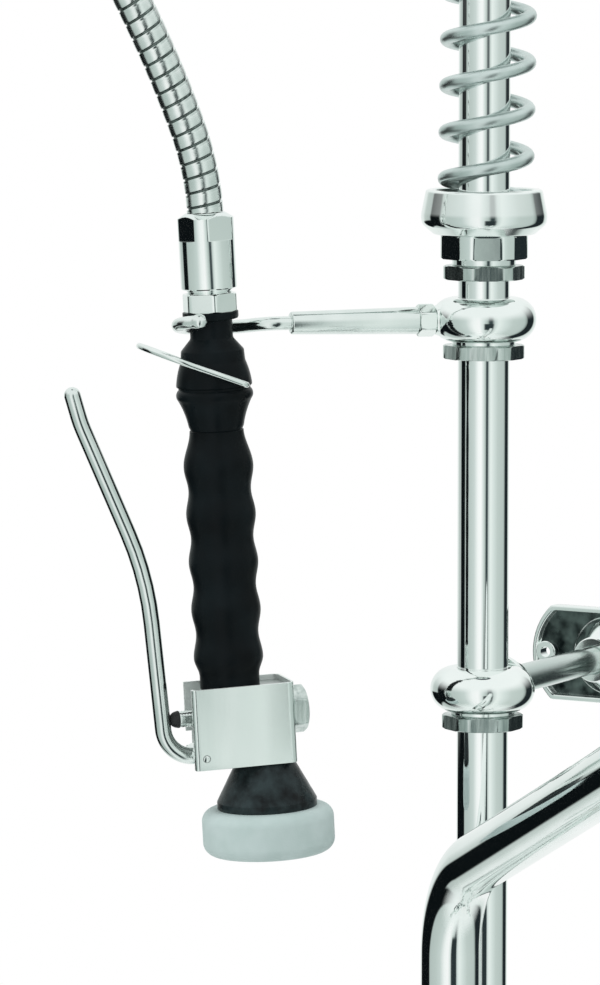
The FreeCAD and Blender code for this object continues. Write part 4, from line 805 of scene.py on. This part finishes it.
# The faces next to the strip's two edges lie in the gap; they take the Gap material, painted shade
GAP_EDGE = 0.465
from_middle = add(tree, "Math", [marked.outputs[1], 0.5], operation="SUBTRACT")
from_middle = add(tree, "Math", [from_middle], operation="ABSOLUTE")
in_gap = add(tree, "Math", [from_middle, GAP_EDGE], operation="GREATER_THAN")
strip = add(tree, "GeometryNodeSetMaterial", {"Geometry": strip, "Selection": in_gap,
    "Material": given["Gap"]})
strip = add(tree, "GeometryNodeMergeByDistance", {"Geometry": strip, "Distance": 0.00002})
add(tree, "NodeGroupOutput", [strip])

# Stainless strip, rolled and wound: bright, pale, a little cloudy from wear on the crests
hose_strip = finish("wound_stainless_strip", "F2F6F4", "DFE7E4", 0.16, 0.25, 7, 1.6, 0.004)
# The gap between two turns, where the light does not reach: painted shade, a darker steel colour standing in
# for the shade there
hose_gap_shade = finish("painted_shade_in_strip_gap", "8C9794", "4C5653", 0.35, 0.5, 3, 0.5, 0.01)
hose = grown("hose_strip_wound", line_mesh, wound_strip, Radius=HOSE_D / 2, Groove=GROOVE, Pitch=STRIP_PITCH,
    Side=arm_side, Steps=40, Rows=16, Material=hose_strip, Gap=hose_gap_shade)
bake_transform(hose)
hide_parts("hose")

# Balance spring: one wire of hard steel with a satin nickel coat. It stands in the cup, winds up
# round the riser and bends over with the hose, and a moulded bush sits in its free end.
SPRING_PITCH = 0.0225
SPRING_TURNS = 20.8
COIL_R = 0.02005
WIRE_R = 0.0033
coil, given = new_tree("coil_on_a_path", Float="Coil Wire Pitch Turns Phase", Vector="Side",
    Int="Steps Sides", Material="Material")
tree = coil
path = add(tree, "GeometryNodeMeshToCurve", [given["Geometry"]])
count = add(tree, "Math", [given["Turns"], given["Steps"], 1.0], operation="MULTIPLY_ADD")
line = add(tree, "GeometryNodeCurvePrimitiveLine")
line = add(tree, "GeometryNodeResampleCurve", {"Curve": line, "Count": count}, mode="COUNT")
turns = add(tree, "Math", [add(tree, "GeometryNodeInputIndex"), given["Steps"]], operation="DIVIDE")
run = add(tree, "Math", [turns, given["Pitch"]], operation="MULTIPLY")
angle = add(tree, "Math", [turns, 2 * math.pi, given["Phase"]], operation="MULTIPLY_ADD")
spot = off_path(tree, path, run, angle, given["Coil"], given["Side"])
helix = add(tree, "GeometryNodeSetPosition", {"Geometry": line, "Position": spot})
wire = add(tree, "GeometryNodeCurvePrimitiveCircle", {"Resolution": given["Sides"], "Radius": given["Wire"]})
wire_mesh = add(tree, "GeometryNodeCurveToMesh", {0: helix, 1: wire, "Fill Caps": True})
close_tree(tree, wire_mesh, given["Material"])


def open_line(name, points):
    """Mesh of points joined in a row."""
    mesh = bpy.data.meshes.new(name)
    mesh.from_pydata(points, [(i, i + 1) for i in range(len(points) - 1)], [])
    return mesh


# Spring steel with a satin nickel coat: pale grey-green, soft highlights, faint drawing marks
spring_steel = finish("satin_nickel_on_spring_steel", "D6E1DF", "C3D0CD", 0.26, 0.34, 14, 0.8, 0.008,
    metallic=0.95)
spring_foot = Vector((0.0004, 0.0003, 0.5595))
spring_lean = Vector((0.0016, 0.0009, 0.655))
spring = grown("balance_spring_wound", open_line("spring_line", [spring_foot, spring_lean] + hose_points),
    coil, Coil=COIL_R, Wire=WIRE_R, Sides=24, Pitch=SPRING_PITCH, Turns=SPRING_TURNS,
    Phase=math.radians(36), Side=arm_side, Steps=44, Material=spring_steel)
fitted(spring, spring_steel, "balance_spring")
bush_run = SPRING_TURNS * SPRING_PITCH - (hose_points[0] - spring_foot).length + 0.0035
walked = 0.0
for before, after in zip(hose_points, hose_points[1:]):
    length = (after - before).length
    if walked + length >= bush_run:
        break
    walked += length
bush_spot = before.lerp(after, (bush_run - walked) / length)
# Glass-filled nylon, moulded: black and matt
black_nylon = finish("moulded_black_nylon", "202324", "16191A", 0.4, 0.55, 6, 0.5, 0.01, metallic=0)
piece("spring_end_bush",
    [turned([(9.45, -10), (16.45, -10, 0.9), (16.45, 0), (22.35, 0, 0.7), (22.35, 3, 0.9), (9.45, 3, 0.5)])],
    black_nylon, "spring_bush", place=turned_to((after - before).normalized(), bush_spot / MM))

# Hose ferrule: turned brass under chrome, crimped on the hose, with four flats above and a flanged
# tailpiece below that a swivel nut draws down on a fibre washer.
ferrule = lathe([(6, 8.1), (10.2, 8.1), (10.2, 9.8), (7.5, 9.8), (7.5, 12.8), (10.9, 12.8), (10.9, 13.2),
    (10.4, 13.4), (10.4, 13.8), (10.9, 14.0), (10.9, 14.8), (12.9, 14.8), (13.4, 15.3), (13.4, 38.1),
    (13.4, 38.25), (13.4, 48.7), (9.4, 51.2), (6, 51.2)], flats=(23.1, 38.2, 51.2, -23.6), count=4)
ferrule_piece = piece("hose_end_ferrule", [ferrule], chrome_casting, "hose_ferrule", place=GUN)
SWIVEL_R = 13.4
piece("gun_swivel_nut",
    [lathe([(10.5, 3.8), (12.6, 3.8), (SWIVEL_R, 4.3), (SWIVEL_R, 12.1), (12.6, 12.6), (8, 12.6),
    (7.55, 12.2), (7.55, 10.1), (10.5, 10.1)], flats=(24, 3.8, 12.6, 27.5))], chrome_machined, "swivel_nut",
    place=GUN)
# Vulcanised fibre, punched: grey and fibrous
fibre = finish("vulcanised_fibre", "8C8F8C", "767976", 0.7, 0.85, 3, 0.3, 0.02, metallic=0)
piece("gun_swivel_washer", [turned([(6, 6.2), (10, 6.2, 0.2), (10, 7.8, 0.2), (6, 7.8)], sides=64)], fibre,
    "swivel_washer", place=GUN)


# Gun neck and grip: brass water way under a black moulded cover. The neck has a narrow throat for the
# hook, a shoulder and a bead, and the grip is soft rubber with five swellings for the fingers.
def through(a, middle, b, steps=10):
    """Points of the arc from a to b through a middle point, with b and without a."""
    start, between, end = complex(*a), complex(*middle), complex(*b)
    share = (between - start) / (end - start)
    centre = start + (end - start) * (share - abs(share) ** 2) / 2j / share.imag
    sweep = (end - centre) / (start - centre)
    arc = [centre + (start - centre) * sweep ** (k / steps) for k in range(1, steps)]
    return [(spot.real, spot.imag) for spot in arc] + [b]


neck_outline = [(5.5, 6.2), (10.2, 6.2), (10.5, 5.9), (10.5, 3.8), (13.2, 3.8), (13.4, 3.6), (13.4, 1.2),
    (13.0, 0.3), (12.0, 0), (10.6, 0), (10.25, -0.4), (10.25, -8.4), (10.5, -9.3), (14.9, -14.5),
    (15.15, -15.1), (15.5, -19.8), (15.6, -20.2)]
neck_outline += through((15.6, -20.2), (17.35, -25.7), (18.25, -31.2))
neck_outline += [(18.1, -31.9), (17.35, -32.4), (17.25, -32.9), (17.3, -33.4), (17.7, -33.8)]
neck_outline += through((17.7, -33.8), (18.5, -35.9), (17.6, -38.6))
neck_outline += through((17.6, -38.6), (14.4, -46.5), (13.05, -52.7))[:-1]
neck_outline += [(12.5, -53), (7.05, -53), (7.05, -24), (5.5, -24)]
# Glass-filled nylon, moulded: satin black with a fine orange skin
neck_nylon = finish("satin_black_nylon", "10171A", "090D0F", 0.27, 0.36, 16, 1.1, 0.012, metallic=0,
    sheen=0.08)
neck = shaped("gun_neck_moulding", [lathe(neck_outline)], neck_nylon, GUN)
BAIL_X = -11.4
BAIL_Z = -30.9
bail_seats = [pipe(0, 1.55, 12.1, 22, 24)]
for side in (-Y_AXIS, Y_AXIS):
    worked(neck, bail_seats, "DIFFERENCE", GUN @ turned_to(side, (BAIL_X, 0, BAIL_Z)))
fitted(neck, neck_nylon, "gun_neck")
piece("gun_water_tube", [pipe(5.5, 7, -182.4, -24, 48)], raw_brass, "water_tube", place=GUN)
FIRST_BUMP = -70.8
BUMP_PITCH = 23.1
LAST_BUMP = FIRST_BUMP - 4 * BUMP_PITCH
WAIST_Z = LAST_BUMP - 9.0
grip_outline = [(12.5, -53)]
for z in np.linspace(-53.4, -177.9, 180):
    if z > FIRST_BUMP:
        r = 13.0 + 3.75 * (0.5 - 0.5 * math.cos(math.pi * (z + 53.0) / (FIRST_BUMP + 53.0)))
    elif z > LAST_BUMP:
        r = 15.9 + 0.85 * math.cos(2 * math.pi * (z - FIRST_BUMP) / BUMP_PITCH)
    else:
        r = 14.4 + 2.35 * (0.5 + 0.5 * math.cos(math.pi * max(z - LAST_BUMP, WAIST_Z - LAST_BUMP) / 9.0))
    grip_outline.append((r, z))
grip_outline += [(14.0, -178.4), (7.05, -178.4), (7.05, -53)]
# Soft thermoplastic rubber, moulded: black, with a fine matt skin that spreads its highlights
grip_rubber = finish("soft_black_grip_rubber", "10171A", "090D0F", 0.3, 0.42, 20, 0.9, 0.016, metallic=0,
    sheen=0.08)
piece("gun_grip_moulding", [lathe(grip_outline)], grip_rubber, "grip_sleeve", place=GUN)


# Valve box: a nickelled block inside a cover folded from stainless sheet. A hexagonal end cap holds the
# return spring, and the plunger's stem comes out on the lever side with a rubber tip.
def prism(outline, low, high):
    """Solid between two heights over a flat outline."""
    count = len(outline)
    spots = [(x, y, low) for x, y in outline] + [(x, y, high) for x, y in outline]
    sides = [[i, (i + 1) % count, count + (i + 1) % count, count + i] for i in range(count)]
    area = sum(a[0] * b[1] - b[0] * a[1] for a, b in zip(outline, outline[1:] + outline[:1]))
    faces = sides + [list(range(count))[::-1], list(range(count, 2 * count))]
    return np.array(spots), faces if area > 0 else [face[::-1] for face in faces]


PLUNGER_Z = -191.6
PIN_X = 17.1
PIN_Z = -209.6
pin_place = GUN @ turned_to(Y_AXIS, (PIN_X, 0, PIN_Z))
fold = filleted([(19.5, -15.8), (19.5, -14.6), (-27.2, -14.6, 2.8), (-27.2, 14.6, 2.8), (21.3, 14.6, 1.8),
    (21.3, 12), (22.5, 12), (22.5, 15.8, 3), (-28.4, 15.8, 4), (-28.4, -15.8, 4)], 10)
# Stainless sheet, folded and brushed lightly: pale, bright, with a hint of upright lines
cover_sheet = finish("folded_stainless_sheet", "F0F5F3", "E4ECE9", 0.13, 0.2, 24, 1.2, 0.003,
    stretch=(1, 1, 8))
cover = shaped("gun_valve_cover", [prism(fold, -215.2, -176.0)], cover_sheet, GUN)
worked(cover, [pipe(0, 1.8, -20, 20, 32)], "DIFFERENCE", pin_place)
worked(cover, [pipe(0, 8.05, -30, -24, 64)], "DIFFERENCE", GUN @ turned_to(X_AXIS, (0, 0, PLUNGER_Z)))
worked(cover, [prism([(16.5, -17), (20, -17), (20, -12), (16.5, -12)], -207, -200)], "DIFFERENCE", GUN)
rounding = cover.modifiers.new("Bevel", "BEVEL")
rounding.width = 0.22 * MM
rounding.segments = 2
rounding.limit_method = "ANGLE"
rounding.angle_limit = math.radians(50)
rounding.harden_normals = True
applied(cover)
# The sheet's inner side keeps its mill finish: paler and duller
mill_sheet = finish("stainless_sheet_inside", "F2F6F4", "E6EEEB", 0.3, 0.42, 24, 1.2, 0.003, metallic=0.35)
cover.data.materials.append(mill_sheet)
to_gun = in_metres(GUN).inverted()
for face in cover.data.polygons:
    spot, outward = to_gun @ face.center, to_gun.to_3x3() @ face.normal
    if abs(spot.y) < 14.7 * MM and spot.xy.dot(outward.xy) < 0:
        face.material_index = 1
fitted(cover, cover_sheet, "valve_cover")
# Nickel on a die-cast block: grey, faintly grainy
nickel_block = finish("nickel_on_die_cast_block", "B9BEBC", "A2A8A6", 0.28, 0.4, 10, 0.8, 0.01)
frame["nodes"]["valve_body"].data.materials.clear()
frame["nodes"]["valve_body"].data.materials.append(nickel_block)
plunger_place = GUN @ turned_to(X_AXIS, (0, 0, PLUNGER_Z))
piece("gun_stem_seal", [o_ring(4.9, 0.9, 6.5)], nitrile, "stem_o_ring", place=plunger_place)
corner_r = 20.5 / math.sqrt(3)
piece("gun_end_cap",
    [lathe([(0, -36.4), (9.94, -36.4), (corner_r, -35.3), (corner_r, -29.5), (9.94, -28.4), (8, -28.4),
    (8, -18.2), (5.5, -18.2), (5.5, -24.2), (0, -24.2)], flats=(20.5, -36.4, -28.4, 0))], satin_nut,
    "end_cap", place=plunger_place)
stem = [(0, -5.3), (6.2, -5.3), (6.5, -5.0), (6.5, -2.6), (6.2, -2.3), (4, -2.3), (4, 19.8)]
for ring_u in (20.6, 22.0, 23.4, 24.8):
    stem += [(4, ring_u), (3.75, ring_u + 0.15), (3.75, ring_u + 0.45), (4, ring_u + 0.6)]
piece("gun_plunger", [lathe(stem + [(4, 26.2), (0, 26.2)], 64)], polished_steel, "plunger",
    place=plunger_place)
tip = [(0, 26.2), (4, 26.2), (4.15, 26.4), (4.15, 26.9)]
tip += [(4 * math.cos(a), 27.1 + 4 * math.sin(a)) for a in np.radians(range(8, 90, 8))]
piece("gun_plunger_tip", [lathe(tip + [(0, 31.1)], 64)], gasket_rubber, "plunger_tip", place=plunger_place)
coil_ends = [Vector((u * MM, 0, PLUNGER_Z * MM)) for u in (-23.7, -5.8)]
valve_coil = grown("gun_return_spring", open_line("valve_line", coil_ends), coil, Coil=0.0045, Wire=0.0005,
    Sides=12, Pitch=0.004475, Turns=4.0, Phase=0.0, Side=Y_AXIS, Steps=32, Material=polished_steel)
in_gun = in_metres(GUN)
valve_coil.data.transform(in_gun)
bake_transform(valve_coil)
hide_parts("valve_spring")

# Lever: one bent stainless rod with a cross eye, on a pin riveted through the cover's cheeks.
lever_spots = [(PIN_X, 0, PIN_Z - 0.3), (33.4, 0, -211.9), (38.3, 0, -121), (66.5, 0, -45), (69.7, 0, -31.4)]
lever_bends = bent(lever_spots, [15, 150, 50], 3)
lever_line, lever_rs = dome(lever_bends, 4.0)
lever = shaped("gun_lever", [bar(lever_line, lever_rs, 36)], polished_steel, GUN)
eye = turned([(1.8, -10, 0.2), (4.5, -10, 0.6), (4.5, 10, 0.6), (1.8, 10, 0.2)], sides=48)
worked(lever, [pipe(0, 4.2, -9, 9, 48)], "DIFFERENCE", pin_place)
worked(lever, [eye], "UNION", pin_place)
fitted(lever, polished_steel, "lever")
piece("gun_lever_pin",
    [lathe([(0, -15.95), (1.1, -15.9), (1.6, -15.7), (1.75, -15.3), (1.75, 15.3), (1.6, 15.7), (1.1, 15.9),
    (0, 15.95)], 40)], polished_steel, "lever_pin", place=pin_place)

# Locking bail: stainless wire bent to a loop, its ends sprung into the shoulders of the neck. It hooks
# over the lever's top to hold the valve open.
BAIL_LENGTH = 51.0
BAIL_ANGLE = math.radians(24.1)
bail_foot = Vector((BAIL_X, -20.5, BAIL_Z))
bail_out = Vector((math.cos(BAIL_ANGLE), 0, math.sin(BAIL_ANGLE))) * BAIL_LENGTH
near_arm = [Vector((BAIL_X, -12.2, BAIL_Z)), bail_foot, bail_foot + bail_out]
far_arm = [Vector((spot.x, -spot.y, spot.z)) for spot in near_arm[::-1]]
far_arm[0].z -= 1.0
bail_path = bent(near_arm + far_arm, [3, 20.4, 20.4, 3], 4)
piece("gun_bail", [bar(bail_path, [1.5] * len(bail_path), 24)], polished_steel, "lock_bail", place=GUN)

# Spray head: a black moulded cone screwed into the valve block, a steel plate with a ring of jets in
# its skirt, and a soft grey rubber bumper pushed over the skirt.
head_place = GUN @ Matrix.Translation((-15.4, 0, 0))
# Hard rubber, moulded: near black with a low sheen; its lighter mottled patches are painted highlight
cone_rubber = finish("moulded_hard_rubber", "2C3739", "0A0E10", 0.2, 0.38, 7, 1.2, 0.02, metallic=0,
    sheen=0.16)
piece("gun_spray_cone",
    [turned([(4, -208.6), (6.45, -208.6), (6.45, -215.2), (14, -215.2, 0.5), (24.2, -234.4, 0.5),
    (24.2, -238, 0.4), (20, -238), (20, -252), (18, -252), (18, -241), (5, -231), (5, -215.2),
    (4, -214.2)])], cone_rubber, "spray_cone", place=head_place)
# Grey rubber, moulded soft: pale blue-green grey, matt, with a dusty bloom
bumper_rubber = finish("moulded_grey_rubber", "BDCBCA", "B3C3C1", 0.5, 0.65, 12, 0.8, 0.015, metallic=0,
    sheen=0.3)
piece("gun_bumper",
    [turned([(20, -238), (32, -238, 7.5), (32, -260.4, 7), (19, -260.4, 1.5), (16, -254, 0.8), (16, -252),
    (20, -252)], 10)], bumper_rubber, "bumper", place=head_place)
drilled_piece("gun_jet_plate", [turned([(0, -251), (17.95, -251, 0.3), (17.95, -248.5, 0.3), (0, -248.5)])],
    polished_steel, "spray_plate", place=head_place, Count=12, Ring=0.01224, Hole=0.001, Sides=20,
    Depth=0.006, Height=-0.24975, Turn=0.0)

# Studio: a camera at the photograph's place, a pale floor, a white and grey surround with the dark
# cloths and stands that the chrome mirrors, and two soft boxes.
LENS = 204.7
CAMERA_PLACE = (1.27689, -2.38983, 0.7171)
CAMERA_PITCH = math.radians(-6.13)
CAMERA_BEARING = math.radians(120)
FLOOR_Z = -0.1482
FLOOR_R = 30
camera_data = bpy.data.cameras.new("camera")
camera_data.lens = LENS
camera = linked("camera", camera_data)
camera.location = CAMERA_PLACE
look = Matrix.Rotation(CAMERA_BEARING, 3, "Z") @ Matrix.Rotation(-CAMERA_PITCH, 3, "Y") @ X_AXIS
camera.rotation_mode = "QUATERNION"
camera.rotation_quaternion = look.to_track_quat("-Z", "Y")
bpy.context.scene.camera = camera

floor_mesh = bpy.data.meshes.new("floor")
rim = np.linspace(0, 2 * math.pi, 96, endpoint=False)
rim_points = [(FLOOR_R * math.cos(a), FLOOR_R * math.sin(a), FLOOR_Z) for a in rim]
floor_mesh.from_pydata(rim_points, [], [list(range(96))])
floor = linked("floor", floor_mesh)
# Pale paper: a plain matt floor near the object, which runs out into the surround further off, and
# sooner where a piece mirrors it
paper = bpy.data.materials.new("pale_paper")
tree = emptied(paper)
where = add(tree, "TexCoord").outputs["Object"]
flat = add(tree, "VectorMath", [where, (1, 1, 0)], operation="MULTIPLY")
distance = add(tree, "VectorMath", [flat], operation="LENGTH").outputs["Value"]
mirror_ray = add(tree, "LightPath").outputs["Is Glossy Ray"]
stretch = add(tree, "Math", [mirror_ray, 1.6, 1.0], operation="MULTIPLY_ADD")
reach = add(tree, "Math", [distance, stretch], operation="MULTIPLY")
far = add(tree, "MapRange", {"Value": reach, "From Min": 0.35, "From Max": 1.3},
    interpolation_type="SMOOTHSTEP")
matt = add(tree, "BsdfDiffuse", {"Color": linear("EDF0EF")})
mixed = add(tree, "MixShader", [far, matt, add(tree, "BsdfTransparent")])
add(tree, "OutputMaterial", {"Surface": mixed})
floor_mesh.materials.append(paper)

# What the chrome mirrors, by the bearing from the camera's side, in degrees to the right
SURROUND = ((-180, "F4F7F6"), (-150, "E8EEEC"), (-140, "C4CECA"), (-121, "B4BEBB"), (-117, "0B1012"),
    (-93, "0B1012"), (-89, "B6C2BE"), (-60, "C0CCC8"), (-43, "CCD7D4"), (-25, "F8FBFA"), (-12, "FFFFFF"),
    (-2, "DCE5E2"), (7, "B4C0BC"), (11, "3A4648"), (17, "3A4648"), (23, "D2DCD9"), (32, "EEF5F2"),
    (48, "DAE4E1"), (66, "C6D1CD"), (100, "BDC9C5"), (107, "9CA8A4"), (112, "20282B"), (138, "20282B"),
    (144, "D8E2DE"), (160, "F4F7F6"), (180, "F4F7F6"))
# Things that don't reach all the way up, each with two bearings and their soft edge, two heights and
# their soft edge, and a shade: a black cloth low on the left, the camera's stand, and the lamp rig above
ROOM = (
    (-148, -112, 5, -0.54, -0.18, 0.05, "0B1012"),
    (2, 18, 5, -0.62, -0.2, 0.08, "2C3638"),
    (-200, 200, 1, 0.987, 1.2, 0.006, "39474A"))
world = bpy.data.worlds.new("studio_surround")
bpy.context.scene.world = world
tree = emptied(world)
way = add(tree, "SeparateXYZ", [add(tree, "TexCoord").outputs["Generated"]]).outputs
bearing = add(tree, "Math", [way["Y"], way["X"]], operation="ARCTAN2")
bearing = add(tree, "Math", [bearing, math.pi - CAMERA_BEARING], operation="ADD")
bearing = add(tree, "Math", [bearing, math.pi, -math.pi], operation="WRAP")
share = add(tree, "MapRange", {"Value": bearing, "From Min": -math.pi, "From Max": math.pi})
round_about = add(tree, "ValToRGB", [share])
ramp = round_about.color_ramp
ramp.elements.remove(ramp.elements[0])
ramp.elements[0].position = 0.0
ramp.elements[0].color = linear(SURROUND[0][1])
for degrees, code in SURROUND[1:]:
    ramp.elements.new((degrees + 180) / 360).color = linear(code)
overhead = add(tree, "MapRange", {"Value": way["Z"], "From Min": -0.02, "From Max": 0.6},
    interpolation_type="SMOOTHSTEP")
mirrored = add(tree, "Mix", {0: overhead, 6: round_about, 7: linear("F6FAF9")}, data_type="RGBA").outputs[2]


def window(value, low, high, soft):
    """One between two values, falling to nothing over a soft edge beyond each."""
    half = (high - low) / 2
    off = add(tree, "Math", [value, low + half], operation="SUBTRACT")
    off = add(tree, "Math", [off], operation="ABSOLUTE")
    return add(tree, "MapRange", {"Value": off, "From Min": half + soft, "From Max": half},
        interpolation_type="SMOOTHSTEP")


for left, right, side_edge, low, high, edge, code in ROOM:
    beside = window(bearing, math.radians(left), math.radians(right), math.radians(side_edge))
    level = add(tree, "Math", [beside, window(way["Z"], low, high, edge)], operation="MULTIPLY")
    mirrored = add(tree, "Mix", {0: level, 6: mirrored, 7: linear(code)}, data_type="RGBA").outputs[2]
rays = add(tree, "LightPath").outputs
glossy = add(tree, "Math", [rays["Is Glossy Ray"], rays["Is Transmission Ray"]], operation="MAXIMUM")
plain = add(tree, "Mix", {0: rays["Is Camera Ray"], 6: linear("E6EAE9"), 7: linear("FFFFFF")},
    data_type="RGBA").outputs[2]
shown = add(tree, "Mix", {0: glossy, 6: plain, 7: mirrored}, data_type="RGBA").outputs[2]
sky = add(tree, "Background", {"Color": shown, "Strength": 1.0})
add(tree, "OutputWorld", {"Surface": sky})

SOFT_BOXES = (
    ("soft_box_left", (-1.6, -1.9, 1.6), (0, 0, 0.45), 1.2, 16),
    ("soft_box_top", (0.5, -0.6, 2.3), (0, 0, 0.4), 1.0, 12))
for name, place, target, size, power in SOFT_BOXES:
    lamp_data = bpy.data.lights.new(name, "AREA")
    lamp_data.size = size
    lamp_data.energy = power
    lamp = linked(name, lamp_data)
    lamp.location = place
    lamp.visible_glossy = False
    lamp.rotation_mode = "QUATERNION"
    lamp.rotation_quaternion = (Vector(target) - Vector(place)).to_track_quat("-Z", "Y")
bpy.context.scene.view_settings.view_transform = "Standard"
